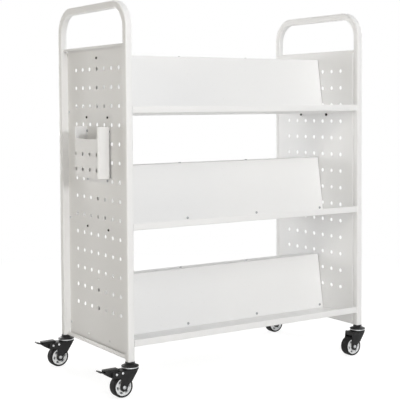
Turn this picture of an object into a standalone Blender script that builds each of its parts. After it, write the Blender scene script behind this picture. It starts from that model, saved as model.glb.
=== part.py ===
"""Double-sided library book trolley: three sloping tiers between two perforated ends, on four swivel casters.

X runs along the trolley, Y from front to back and Z up. The origin is on the floor, at the middle of the
ground that the trolley covers, brake pedals included.
"""

import math

import bmesh
import bpy
from mathutils import Matrix, Vector

# Driving dimensions, in metres and degrees
CLEARANCE = 0.0003  # gap between pieces that touch
TINY = 0.00001  # distance below which two points of a drawing are one
SHEET = 0.001  # sheet metal of panels, trays, dividers and holder
SHEET_BEND = 0.002  # outer radius of a fold in the sheet

FRAME_LENGTH = 0.900  # outside of one end frame to outside of the other
FRAME_DEPTH = 0.450  # front of a front post to back of a rear post
FRAME_HEIGHT = 1.150  # floor to the top of the handle
POST_FOOT = 0.100  # floor to the lower end of a post
TUBE = 0.022  # width of the square tube
TUBE_WALL = 0.0015
TUBE_CORNER = 0.004  # outer radius of the tube's edges
HANDLE_BEND = 0.072  # radius of the handle's bends, at the middle of the tube

PANEL_TOP = 1.024  # floor to the panel's upper edge
PANEL_FOOT = 0.100  # floor to the panel's lower edge
PANEL_FLANGE = 0.015  # depth of the edges folded outwards
PANEL_RETURN = 0.008  # lip at the end of the upper and lower edges
PANEL_CORNER_NOTCH = 0.004  # from a panel's corner to the start of its side flange
HOLE_DIAMETER = 0.012
HOLE_ROWS = 14
HOLE_COLUMNS = 7
HOLE_COLUMN_PITCH = 0.047
ROWS_PER_TIER = 6
HOLE_ROWS_ABOVE_LIP = 2  # whole rows between the top row and the row at the top tier's lip

TIERS = ("top", "middle", "bottom")
TIER_PITCH = 0.340  # from one tier to the next
TOP_LIP_HEIGHT = 0.842  # floor to the top edge of the top tier's lips
LIP = 0.020  # height of a tray's outer lip
LIP_SETBACK = 0.002  # lip behind the face of the posts
FLOOR_SLOPE = 3.3  # degrees, from the lip down to the valley
VALLEY_HALF = 0.0523  # trolley's middle to the line where a divider's face meets the floor
UPSTAND = 0.020  # tray's inner edge behind the divider
FLANGE_AT_LIP = 0.003  # depth, beside the lip, of the tray's end flange that hangs against the panel
FLANGE_AT_VALLEY = 0.0125  # its depth beside the valley
FLANGE_NOTCH = 0.006  # from a fold of the tray to the start of its end flange
RIDGE_RISE = 0.156  # ridge above the lip's top edge
RIDGE_HALF = 0.023  # half of the ridge's width
RIDGE_TAB = 0.018  # tab turned down at each end of the ridge
RIDGE_TAB_HALF = 0.015
DIVIDER_FOOT_GAP = 0.003  # divider's lower edge above the floor

BOLT_RADIUS = 0.0025
BOLT_HEAD_RADIUS = 0.005
BOLT_HEAD = 0.003
BOLT_REACH = 0.005  # thread showing behind the flange
HEAD_CROWN = 0.6  # share of a head's radius that is flat on top
HEAD_EDGE = 0.45  # share of a head's height that is straight
VALLEY_BOLT_OUT = 0.069  # trolley's middle to a valley bolt
VALLEY_BOLT_DROP = 0.0063  # valley bolt below the top of the floor
RIDGE_BOLT_DROP = 0.009  # ridge bolt below the ridge

HOLDER_WIDTH = 0.158
HOLDER_DEPTH = 0.0432
HOLDER_FOOT = 0.625  # floor to the underside of the holder
HOLDER_TALL = 0.155  # height of its sides and back
HOLDER_FRONT = 0.118  # height of its front wall
HOLDER_OFFSET = -0.0095  # middle of the holder from the middle of the panel
HOLDER_CORNER = 0.007  # radius of its front edges
HOLDER_WINDOW_CORNER = 0.012
HOLDER_POST = 0.007  # front left standing beside the window
HOLDER_ROWS = 2
HOLDER_COLUMNS = 4
HOLDER_TOP_ROW = 0.046  # top row of holes below the front wall's edge
HOLDER_ROW_PITCH = 0.047

WHEEL_RADIUS = 0.0318
WHEEL_FACETS = 20
TYRE_WIDTH = 0.030
TYRE_TREAD = 0.022  # flat part of the tread
TYRE_SHOULDER = 0.0022  # drop from the tread to the tyre's side
RIM_RADIUS = 0.0268
RIM_BAND = 0.0045  # thickness of the rim's outer band
RIM_BAND_WIDTH = 0.029
RIM_WEB = 0.012
HUB_RADIUS = 0.011
AXLE_RADIUS = 0.004
AXLE_HEAD_RADIUS = 0.0065
AXLE_HEAD = 0.004
CASTER_TRAIL = 0.030  # swivel axis to axle

YOKE_PLATE = 0.003
YOKE_WHEEL_GAP = 0.0015  # tyre's side to the yoke
YOKE_TOP = 0.0822  # floor to the top of the yoke
YOKE_DECK = 0.005
YOKE_DISC_RADIUS = 0.0255
YOKE_EYE = 0.0125  # radius of the rounded lower end, about the axle
YOKE_EYE_START = 20.0  # degrees above level where the eye's arc meets the front edge
YOKE_EYE_END = -190.0  # degrees round to where it meets the rear edge
YOKE_SHOULDER = 0.018  # swivel axis to the front edge of a side plate, at the top
YOKE_WAIST_REACH = -0.0035  # swivel axis to the front edge at the waist
YOKE_WAIST_HEIGHT = 0.0465
YOKE_ARM_REACH = 0.067  # swivel axis to the end of the arm that carries the brake
YOKE_ARM_FOOT = 0.063  # floor to the underside of the arm
YOKE_ARM_TOP = 0.079
YOKE_NECK_REACH = 0.038  # swivel axis to the corner under the arm
YOKE_NECK_HEIGHT = 0.058
YOKE_FRONT_WALL_FOOT = 0.057  # floor to the lower edge of the wall that joins the plates in front
YOKE_BACK_REACH = 0.014  # swivel axis to the start of the deck behind the kingpin
YOKE_SHORT_REACH = 0.037  # swivel axis to the rear edge of an unbraked yoke, which has no arm
YOKE_BRIDGE = 0.004  # thickness of the bridge between the plates of an unbraked yoke, at the rear
YOKE_BRIDGE_GAP = 0.003  # tyre to the underside of the bridge
YOKE_BRIDGE_TOP = 0.081

RACE_RADIUS = 0.0245
RACE = 0.0036
RACE_BORE = 0.009
UPPER_RACE_RADIUS = 0.026
UPPER_RACE_EDGE = 0.002
UPPER_RACE_CONE = 0.004
UPPER_RACE_TOP_RADIUS = 0.016
KINGPIN_RADIUS = 0.006
KINGPIN_HEAD_RADIUS = 0.0095
KINGPIN_HEAD = 0.003
NUT_FLATS = 0.026  # across the lock nut's flats
PLUG = 0.035  # length of the plug in the post

PIVOT_REACH = 0.0536  # swivel axis to the pedal's pin
PIVOT_HEIGHT = 0.072
PIVOT_RADIUS = 0.003
PIVOT_STANDS_OUT = 0.0012  # end of the pin beyond the yoke
PEDAL_WIDTH = 0.026
PEDAL_REACH = 0.1055  # swivel axis to the pedal's tip
PEDAL_TOP = 0.086  # floor to the pedal's cover
PEDAL_COVER = 0.0035  # thickness of the cover
PEDAL_COVER_REACH = 0.091  # swivel axis to the cover's outer end
PEDAL_HEEL_REACH = 0.031  # swivel axis to the cover's inner end
PEDAL_LEVER = 0.004  # thickness of the lever
PEDAL_SHOE_REACH = 0.0555  # swivel axis to the shoe over the tyre
PEDAL_SHOE_HEIGHT = 0.0565
PEDAL_LEVER_ROOT_REACH = 0.062  # swivel axis to the root of the lever
PEDAL_LEVER_ROOT_HEIGHT = 0.060

ROUND_SIDES = 16
SMALL_SIDES = 8
PERFORATION_SIDES = 6
BEND_STEPS = 7
FOLD_STEPS = 2

# Places that follow from them
POST_MIDDLE_X = FRAME_LENGTH / 2 - TUBE / 2
POST_MIDDLE_Y = FRAME_DEPTH / 2 - TUBE / 2
PANEL_OUTER_X = FRAME_LENGTH / 2 - TUBE - CLEARANCE
PANEL_INNER_X = PANEL_OUTER_X - SHEET
PANEL_HALF = FRAME_DEPTH / 2 - TUBE - CLEARANCE
SHELF_HALF = PANEL_INNER_X - CLEARANCE
HOLE_ROW_PITCH = TIER_PITCH / ROWS_PER_TIER
TOP_ROW_HEIGHT = TOP_LIP_HEIGHT + HOLE_ROWS_ABOVE_LIP * HOLE_ROW_PITCH
LIP_OUTER = FRAME_DEPTH / 2 - LIP_SETBACK
YOKE_INNER = TYRE_WIDTH / 2 + YOKE_WHEEL_GAP
YOKE_OUTER = YOKE_INNER + YOKE_PLATE
RACE_FOOT = YOKE_TOP + CLEARANCE
UPPER_RACE_FOOT = RACE_FOOT + RACE + CLEARANCE
LEFT_REACH = POST_MIDDLE_X + PEDAL_REACH
RIGHT_REACH = POST_MIDDLE_X + UPPER_RACE_RADIUS
GROUND_SHIFT = (LEFT_REACH - RIGHT_REACH) / 2

WHITE_PAINT = ("white_powder_coat", (0.83, 0.83, 0.82), 0.42, 0.0)
BLACK_PAINT = ("black_caster_paint", (0.022, 0.022, 0.024), 0.35, 0.0)
BLACK_OXIDE = ("black_oxide_steel", (0.03, 0.03, 0.032), 0.4, 0.0)
ZINC = ("bright_zinc", (0.72, 0.73, 0.74), 0.28, 1.0)
RIM_PLASTIC = ("white_rim_plastic", (0.80, 0.80, 0.79), 0.3, 0.0)
RUBBER = ("black_tyre_rubber", (0.018, 0.018, 0.019), 0.6, 0.0)


def outside(radius, sides):
    """Corner radius of a faceted round whose flats lie at the given radius."""
    return radius / math.cos(math.pi / sides)


def hole(radius, sides=SMALL_SIDES):
    """Radius of the flats of a hole in which a faceted rod of the given radius turns freely."""
    return outside(radius, sides) + CLEARANCE


def arc(middle, radius, start, end, steps):
    """Points of an arc, both ends included; angles in degrees."""
    angles = [math.radians(start + (end - start) * i / steps) for i in range(steps + 1)]
    return [(middle[0] + radius * math.cos(a), middle[1] + radius * math.sin(a)) for a in angles]


def rounded(points, radius, closed=False, steps=FOLD_STEPS):
    """The outline with each corner replaced by an arc of the given radius."""
    count = len(points)
    result = []
    for index, corner in enumerate(points):
        if not closed and index in (0, count - 1):
            result.append(corner)
            continue
        here = Vector(corner)
        back = (Vector(points[index - 1]) - here).normalized()
        ahead = (Vector(points[(index + 1) % count]) - here).normalized()
        half = back.angle(ahead) / 2
        middle = here + (back + ahead).normalized() * (radius / math.sin(half))
        first = here + back * (radius / math.tan(half)) - middle
        last = here + ahead * (radius / math.tan(half)) - middle
        turn = first.angle_signed(last)
        for step in range(steps + 1):
            spoke = Matrix.Rotation(-turn * step / steps, 2) @ first
            result.append(tuple(middle + spoke))
    return result


def meeting(point_a, way_a, point_b, way_b):
    """Where two lines of the plane cross, each given by a point and a direction."""
    across = way_a[0] * way_b[1] - way_a[1] * way_b[0]
    gap = (point_b[0] - point_a[0], point_b[1] - point_a[1])
    share = (gap[0] * way_b[1] - gap[1] * way_b[0]) / across
    return (point_a[0] + way_a[0] * share, point_a[1] + way_a[1] * share)


def clear_scene():
    for obj in list(bpy.data.objects):
        bpy.data.objects.remove(obj, do_unlink=True)


def collection(name):
    made = bpy.data.collections.new(name)
    bpy.context.scene.collection.children.link(made)
    return made


def material(finish):
    name, colour, roughness, metallic = finish
    found = bpy.data.materials.get(name)
    if found:
        return found
    made = bpy.data.materials.new(name)
    made.use_nodes = True
    shader = made.node_tree.nodes["Principled BSDF"]
    shader.inputs["Base Color"].default_value = (*colour, 1.0)
    shader.inputs["Roughness"].default_value = roughness
    shader.inputs["Metallic"].default_value = metallic
    return made


def empty(name, parent, location):
    made = bpy.data.objects.new(name, None)
    PARTS.objects.link(made)
    made.parent = parent
    made.location = location
    return made


def piece(name, mesh, finish, parent, location=(0, 0, 0), turn=None):
    """A named object of the model, on its parent."""
    made = bpy.data.objects.new(name, mesh)
    PARTS.objects.link(made)
    if not mesh.materials:
        mesh.materials.append(material(finish))
    made.parent = parent
    made.matrix_local = Matrix.Translation(location) @ (turn or Matrix())
    return made


def tool(name, mesh, target):
    """A hidden shape in the target's own axes, for a Boolean modifier."""
    made = bpy.data.objects.new(name, mesh)
    CUTTERS.objects.link(made)
    made.parent = target
    made.hide_render = True
    made.display_type = "WIRE"
    return made


def combine(target, mesh, operation, name):
    change = target.modifiers.new(name, "BOOLEAN")
    change.operation = operation
    change.solver = "EXACT"
    change.object = tool(f"{target.name}_{name}", mesh, target)


def cut(target, mesh, name):
    combine(target, mesh, "DIFFERENCE", name)


def join(target, mesh, name):
    combine(target, mesh, "UNION", name)


def finished(bm, name):
    mesh = bpy.data.meshes.new(name)
    bm.to_mesh(mesh)
    bm.free()
    return mesh


def boxes(name, corners):
    """One mesh of boxes, each given by its lowest and highest corner."""
    bm = bmesh.new()
    for low, high in corners:
        low, high = Vector(low), Vector(high)
        size = Matrix.Diagonal((*(high - low), 1.0))
        bmesh.ops.create_cube(bm, size=1.0, matrix=Matrix.Translation((low + high) / 2) @ size)
    return finished(bm, name)


def rods(name, middles, radius, length, axis, sides):
    """One mesh of straight round rods along an axis, with their flats at the given radius."""
    turn = Vector((0, 0, 1)).rotation_difference(Vector(axis)).to_matrix().to_4x4()
    bm = bmesh.new()
    for middle in middles:
        bmesh.ops.create_cone(
            bm,
            cap_ends=True,
            segments=sides,
            radius1=outside(radius, sides),
            radius2=outside(radius, sides),
            depth=length,
            matrix=Matrix.Translation(middle) @ turn @ Matrix.Rotation(math.pi / sides, 4, "Z"),
        )
    return finished(bm, name)


def turned(name, profile, sides, parent, finish, location=(0, 0, 0), turn=None, ring=False):
    """A profile of (radius, height) points, run down its outer side and spun about its own Z axis."""
    bm = bmesh.new()
    half_step = math.pi / sides
    corners = [(outside(r, sides), z) for r, z in profile]
    ends = [bm.verts.new((r * math.cos(half_step), r * math.sin(half_step), z)) for r, z in corners]
    pairs = list(zip(ends, ends[1:]))
    if ring:
        pairs.append((ends[-1], ends[0]))
    for pair in pairs:
        bm.edges.new(pair)
    made = piece(name, finished(bm, name), finish, parent, location, turn)
    spin = made.modifiers.new("spin", "SCREW")
    spin.axis = "Z"
    spin.steps = sides
    spin.render_steps = sides
    spin.use_merge_vertices = True
    spin.merge_threshold = TINY
    weld = made.modifiers.new("poles", "WELD")
    weld.merge_threshold = TINY
    return made


def domed_head(radius, height, base):
    """Profile of a fastener's head above a base, from its crown down to its underside."""
    crown = HEAD_CROWN * radius
    return [(0.0, base + height), (crown, base + height), (radius, base + HEAD_EDGE * height), (radius, base)]


def curve_mesh(name, curve):
    """A welded mesh of a curve, which is then removed."""
    holder = bpy.data.objects.new(name, curve)
    CUTTERS.objects.link(holder)
    graph = bpy.context.evaluated_depsgraph_get()
    mesh = bpy.data.meshes.new_from_object(holder.evaluated_get(graph))
    bpy.data.objects.remove(holder, do_unlink=True)
    bm = bmesh.new()
    bm.from_mesh(mesh)
    bmesh.ops.remove_doubles(bm, verts=bm.verts, dist=TINY / 2)
    bmesh.ops.recalc_face_normals(bm, faces=bm.faces)
    return finished(bm, name)


def spline(curve, points, closed):
    run = curve.splines.new("POLY")
    run.points.add(len(points) - 1)
    for place, point in zip(run.points, points):
        place.co = (*point, 0.0, 1.0) if len(point) == 2 else (*point, 1.0)
    run.use_cyclic_u = closed


def flat_mesh(name, outline, low, high, turn=None):
    """A flat plate with the given outline, between two heights above the drawing."""
    curve = bpy.data.curves.new(name, "CURVE")
    curve.dimensions = "2D"
    curve.fill_mode = "BOTH"
    curve.extrude = (high - low) / 2
    spline(curve, outline, True)
    mesh = curve_mesh(name, curve)
    mesh.transform((turn or Matrix()) @ Matrix.Translation((0, 0, (low + high) / 2)))
    return mesh


def bent_sheet(name, outline, half_length, wings, back):
    """A folded sheet: an outline of (x, z) points run along Y, with wings turned from its ends.

    wings maps a pair of outline points to how far each is drawn out to make the wing. back is a direction
    that the sheet's outer side faces on its first face.
    """
    bm = bmesh.new()
    start = [bm.verts.new((x, -half_length, z)) for x, z in outline]
    edges = [bm.edges.new(pair) for pair in zip(start, start[1:])]
    run = bmesh.ops.extrude_edge_only(bm, edges=edges)["geom"]
    far = [item for item in run if isinstance(item, bmesh.types.BMVert)]
    bmesh.ops.translate(bm, verts=far, vec=(0, 2 * half_length, 0))
    bm.edges.ensure_lookup_table()
    for pair, ways in wings.items():
        for y in (-half_length, half_length):
            ends = [Vector((outline[index][0], y, outline[index][1])) for index in pair]
            corners = [min(bm.verts, key=lambda v: (v.co - end).length) for end in ends]
            drawn = [bm.edges.get(corners)]
            wing = bmesh.ops.extrude_edge_only(bm, edges=drawn)["geom"]
            for corner in [item for item in wing if isinstance(item, bmesh.types.BMVert)]:
                nearest = min((0, 1), key=lambda index: (corner.co - ends[index]).length)
                corner.co += Vector(ways[nearest])
    bmesh.ops.recalc_face_normals(bm, faces=bm.faces)
    bm.faces.ensure_lookup_table()
    start_point = Vector((outline[0][0], 0, outline[0][1]))
    first_face = min(bm.faces, key=lambda f: (f.calc_center_median() - start_point).length)
    if first_face.normal.dot(Vector(back)) < 0:
        bmesh.ops.reverse_faces(bm, faces=bm.faces)
    return finished(bm, name)


def thicken(target):
    wall = target.modifiers.new("sheet", "SOLIDIFY")
    wall.solidify_mode = "NON_MANIFOLD"
    wall.nonmanifold_thickness_mode = "CONSTRAINTS"
    wall.thickness = SHEET
    wall.offset = -1.0


ACROSS_Y = Matrix(((1, 0, 0), (0, 0, -1), (0, 1, 0))).to_4x4()  # drawing's x and y become X and Z
ACROSS_X = Matrix(((0, 0, 1), (1, 0, 0), (0, 1, 0))).to_4x4()  # drawing's x and y become Y and Z
TURN_LEFT = Matrix.Rotation(math.pi / 2, 4, "Z")
TURN_RIGHT = Matrix.Rotation(-math.pi / 2, 4, "Z")
TURN_ROUND = Matrix.Rotation(math.pi, 4, "Z")
LIE_ALONG_Y = Matrix.Rotation(math.pi / 2, 4, "X")


def build_end_frame(end, side, root):
    """One bent tube that is both posts and the handle; side is -1 at the left end, +1 at the right."""
    half = TUBE / 2
    section = bpy.data.curves.new("tube_section", "CURVE")
    section.dimensions = "2D"
    square = [(-half, -half), (half, -half), (half, half), (-half, half)]
    spline(section, rounded(square, TUBE_CORNER, closed=True), True)
    section_holder = bpy.data.objects.new("tube_section", section)
    CUTTERS.objects.link(section_holder)
    bend_height = FRAME_HEIGHT - half - HANDLE_BEND
    bend_y = POST_MIDDLE_Y - HANDLE_BEND
    run = [(-POST_MIDDLE_Y, POST_FOOT)]
    run += arc((-bend_y, bend_height), HANDLE_BEND, 180, 90, BEND_STEPS)
    run += arc((bend_y, bend_height), HANDLE_BEND, 90, 0, BEND_STEPS)
    run.append((POST_MIDDLE_Y, POST_FOOT))
    tube = bpy.data.curves.new("tube", "CURVE")
    tube.dimensions = "3D"
    tube.twist_mode = "MINIMUM"
    tube.bevel_mode = "OBJECT"
    tube.bevel_object = section_holder
    spline(tube, [(0, y, z) for y, z in run], False)
    mesh = curve_mesh(f"end_frame_{end}", tube)
    bpy.data.objects.remove(section_holder, do_unlink=True)
    made = piece(f"end_frame_{end}", mesh, WHITE_PAINT, root, (side * POST_MIDDLE_X, 0, 0))
    wall = made.modifiers.new("wall", "SOLIDIFY")
    wall.thickness = TUBE_WALL
    wall.offset = -1.0
    wall.use_even_offset = True


def lip_height(tier):
    """Floor to the top edge of a tier's lips."""
    return TOP_LIP_HEIGHT - TIERS.index(tier) * TIER_PITCH


def floor_top(out):
    """Tray floor at a distance from the trolley's middle, from the lip's top edge."""
    slope = math.radians(FLOOR_SLOPE)
    return SHEET / math.cos(slope) - LIP - (LIP_OUTER - out) * math.tan(slope)


def divider_face():
    """A point and a direction on the outer side of a divider's front face, in a tier's own (y, z) axes."""
    foot = Vector((-VALLEY_HALF, floor_top(VALLEY_HALF)))
    return foot, (Vector((-RIDGE_HALF, RIDGE_RISE)) - foot).normalized()


def bolt_places(tier):
    """Name, distance along Y and height of each bolt at one end of a tier."""
    lip = lip_height(tier)
    valley = lip + floor_top(VALLEY_BOLT_OUT) - VALLEY_BOLT_DROP
    ridge = lip + RIDGE_RISE - RIDGE_BOLT_DROP
    return (("front", -VALLEY_BOLT_OUT, valley), ("rear", VALLEY_BOLT_OUT, valley), ("ridge", 0.0, ridge))


def bolt_holes(name, middles, axis):
    return rods(name, middles, hole(BOLT_RADIUS), 4 * BOLT_REACH, axis, SMALL_SIDES)


def build_end_panel(end, side, root):
    corners = [
        (PANEL_FLANGE, PANEL_FOOT + PANEL_RETURN),
        (PANEL_FLANGE, PANEL_FOOT),
        (0.0, PANEL_FOOT),
        (0.0, PANEL_TOP),
        (PANEL_FLANGE, PANEL_TOP),
        (PANEL_FLANGE, PANEL_TOP - PANEL_RETURN),
    ]
    outline = rounded(corners, SHEET_BEND)
    middle = len(outline) // 2
    outline.insert(middle, (0.0, PANEL_TOP - PANEL_CORNER_NOTCH))
    outline.insert(middle, (0.0, PANEL_FOOT + PANEL_CORNER_NOTCH))
    wings = {(middle, middle + 1): [(PANEL_FLANGE, 0, 0)] * 2}
    mesh = bent_sheet(f"end_panel_{end}", outline, PANEL_HALF, wings, (1, 0, 0))
    turn = TURN_ROUND if side < 0 else None
    made = piece(f"end_panel_{end}", mesh, WHITE_PAINT, root, (side * PANEL_INNER_X, 0, 0), turn)
    thicken(made)
    holes = []
    for row in range(HOLE_ROWS):
        for column in range(HOLE_COLUMNS):
            across = (column - (HOLE_COLUMNS - 1) / 2) * HOLE_COLUMN_PITCH
            holes.append((0, across, TOP_ROW_HEIGHT - row * HOLE_ROW_PITCH))
    radius = HOLE_DIAMETER / 2
    cut(made, rods("panel_holes", holes, radius, 4 * SHEET, (1, 0, 0), PERFORATION_SIDES), "holes")
    bolts = [(0, y, z) for tier in TIERS for _, y, z in bolt_places(tier)]
    cut(made, bolt_holes("panel_bolt_holes", bolts, (1, 0, 0)), "bolt_holes")


def build_tray(tier, place, turn, root):
    slope = math.radians(FLOOR_SLOPE)
    lip_foot = Vector((-LIP_OUTER, -LIP))
    down = Vector((math.cos(slope), -math.sin(slope)))
    face, lean = divider_face()
    behind = Vector((lean.y, -lean.x)) * (2 * SHEET + CLEARANCE)
    valley = Vector(meeting(lip_foot, down, face + behind, lean))
    corners = [(-LIP_OUTER, 0.0), tuple(lip_foot), tuple(valley), tuple(valley + lean * UPSTAND)]
    outline = rounded(corners, SHEET_BEND)
    middle = len(outline) // 2
    outline.insert(middle, tuple(valley - down * FLANGE_NOTCH))
    outline.insert(middle, tuple(lip_foot + down * FLANGE_NOTCH))
    wings = {(middle, middle + 1): [(0, 0, -FLANGE_AT_LIP), (0, 0, -FLANGE_AT_VALLEY)]}
    name = f"tray_{tier}_{place}"
    mesh = bent_sheet(name, outline, SHELF_HALF - SHEET, wings, (-1, 0, 0))
    made = piece(name, mesh, WHITE_PAINT, root, (0, 0, lip_height(tier)), turn)
    thicken(made)
    bolt = floor_top(VALLEY_BOLT_OUT) - VALLEY_BOLT_DROP
    ends = [(-VALLEY_BOLT_OUT, y, bolt) for y in (-SHELF_HALF, SHELF_HALF)]
    cut(made, bolt_holes("tray_bolt_holes", ends, (0, 1, 0)), "bolt_holes")


def build_divider(tier, root):
    face, lean = divider_face()
    foot = face + lean * (DIVIDER_FOOT_GAP / lean.y)
    corners = [tuple(foot), (-RIDGE_HALF, RIDGE_RISE), (RIDGE_HALF, RIDGE_RISE), (-foot.x, foot.y)]
    outline = rounded(corners, SHEET_BEND)
    middle = len(outline) // 2
    outline.insert(middle, (RIDGE_TAB_HALF, RIDGE_RISE))
    outline.insert(middle, (-RIDGE_TAB_HALF, RIDGE_RISE))
    wings = {(middle, middle + 1): [(0, 0, -RIDGE_TAB)] * 2}
    name = f"divider_{tier}"
    mesh = bent_sheet(name, outline, SHELF_HALF, wings, (-1, 0, 0))
    made = piece(name, mesh, WHITE_PAINT, root, (0, 0, lip_height(tier)), TURN_LEFT)
    thicken(made)
    ends = [(0, y, RIDGE_RISE - RIDGE_BOLT_DROP) for y in (-SHELF_HALF, SHELF_HALF)]
    cut(made, bolt_holes("divider_bolt_holes", ends, (0, 1, 0)), "bolt_holes")


def build_bolts(end, side, root):
    inside = -(2 * SHEET + 2 * CLEARANCE + BOLT_REACH)
    profile = domed_head(BOLT_HEAD_RADIUS, BOLT_HEAD, 0.0)
    profile += [(BOLT_RADIUS, 0.0), (BOLT_RADIUS, inside), (0.0, inside)]
    outwards = Matrix.Rotation(side * math.pi / 2, 4, "Y")
    for tier in TIERS:
        for place, y, z in bolt_places(tier):
            spot = (side * (PANEL_OUTER_X + CLEARANCE), y, z)
            turned(f"bolt_{end}_{tier}_{place}", profile, SMALL_SIDES, root, BLACK_OXIDE, spot, outwards)


def holder_plan(inset):
    """Plan of the holder, rounded at its two front edges, drawn in from its outside by inset."""
    front = HOLDER_DEPTH - inset
    side = HOLDER_WIDTH / 2 - inset
    return rounded([(inset, -side), (front, -side), (front, side), (inset, side)], HOLDER_CORNER - inset)


def build_holder(root):
    spot = (-(PANEL_OUTER_X + CLEARANCE), HOLDER_OFFSET, HOLDER_FOOT)
    outer = flat_mesh("pen_holder", holder_plan(0.0), 0.0, HOLDER_TALL)
    made = piece("pen_holder", outer, WHITE_PAINT, root, spot, TURN_ROUND)
    cut(made, flat_mesh("holder_inside", holder_plan(SHEET), SHEET, 2 * HOLDER_TALL), "inside")
    half = HOLDER_WIDTH / 2 - HOLDER_POST
    window = [(-half, 2 * HOLDER_TALL), (-half, HOLDER_FRONT), (half, HOLDER_FRONT), (half, 2 * HOLDER_TALL)]
    opening = flat_mesh(
        "holder_window",
        rounded(window, HOLDER_WINDOW_CORNER, steps=3 * FOLD_STEPS),
        HOLDER_DEPTH / 2,
        2 * HOLDER_DEPTH,
        ACROSS_X,
    )
    cut(made, opening, "window")
    holes = []
    for row in range(HOLDER_ROWS):
        for column in range(HOLDER_COLUMNS):
            across = (column - (HOLDER_COLUMNS - 1) / 2) * HOLE_COLUMN_PITCH
            holes.append((HOLDER_DEPTH, across, HOLDER_FRONT - HOLDER_TOP_ROW - row * HOLDER_ROW_PITCH))
    radius = HOLE_DIAMETER / 2
    cut(made, rods("holder_holes", holes, radius, 4 * SHEET, (1, 0, 0), PERFORATION_SIDES), "holes")
    heads = []
    for tier in TIERS:
        for _, y, z in bolt_places(tier):
            if 0 < z - HOLDER_FOOT < HOLDER_TALL and abs(y - HOLDER_OFFSET) < HOLDER_WIDTH / 2:
                heads.append((0, HOLDER_OFFSET - y, z - HOLDER_FOOT))
    if heads:
        room = hole(BOLT_HEAD_RADIUS)
        cut(made, rods("holder_back_holes", heads, room, 4 * SHEET, (1, 0, 0), SMALL_SIDES), "back_holes")


def build_stem(name, swivel):
    """Upper race with its kingpin, lock nut and the plug that grips inside the post."""
    nut_foot = UPPER_RACE_FOOT + UPPER_RACE_EDGE + UPPER_RACE_CONE
    head_top = YOKE_TOP - YOKE_DECK - CLEARANCE
    profile = [
        (0.0, nut_foot),
        (UPPER_RACE_TOP_RADIUS, nut_foot),
        (UPPER_RACE_RADIUS, UPPER_RACE_FOOT + UPPER_RACE_EDGE),
        (UPPER_RACE_RADIUS, UPPER_RACE_FOOT),
        (KINGPIN_RADIUS, UPPER_RACE_FOOT),
        (KINGPIN_RADIUS, head_top),
        (KINGPIN_HEAD_RADIUS, head_top),
        (KINGPIN_HEAD_RADIUS, head_top - KINGPIN_HEAD),
        (0.0, head_top - KINGPIN_HEAD),
    ]
    made = turned(name, profile, ROUND_SIDES, swivel, BLACK_PAINT)
    overlap = UPPER_RACE_CONE / 4
    low = nut_foot - overlap
    high = POST_FOOT - CLEARANCE
    join(made, rods("lock_nut", [(0, 0, (low + high) / 2)], NUT_FLATS / 2, high - low, (0, 0, 1), 6), "nut")
    half = TUBE / 2 - TUBE_WALL - CLEARANCE
    bore_corner = TUBE_CORNER - TUBE_WALL
    square = [(-half, -half), (half, -half), (half, half), (-half, half)]
    plug = flat_mesh("plug", rounded(square, bore_corner, closed=True), high - overlap, POST_FOOT + PLUG)
    join(made, plug, "plug")


def yoke_outline(braked):
    """Side of the yoke: shoulder, waist, eye round the axle, then the neck and the arm that carries a brake."""
    eye = arc((-CASTER_TRAIL, WHEEL_RADIUS), YOKE_EYE, YOKE_EYE_START, YOKE_EYE_END, BEND_STEPS)
    front = [(YOKE_SHOULDER, YOKE_ARM_TOP), (YOKE_WAIST_REACH, YOKE_WAIST_HEIGHT)]
    rear = [(-YOKE_SHORT_REACH, YOKE_ARM_TOP)]
    if braked:
        rear = [
            (-YOKE_NECK_REACH, YOKE_NECK_HEIGHT),
            (-YOKE_ARM_REACH, YOKE_ARM_FOOT),
            (-YOKE_ARM_REACH, YOKE_ARM_TOP),
        ]
    return front + list(eye) + rear


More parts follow.
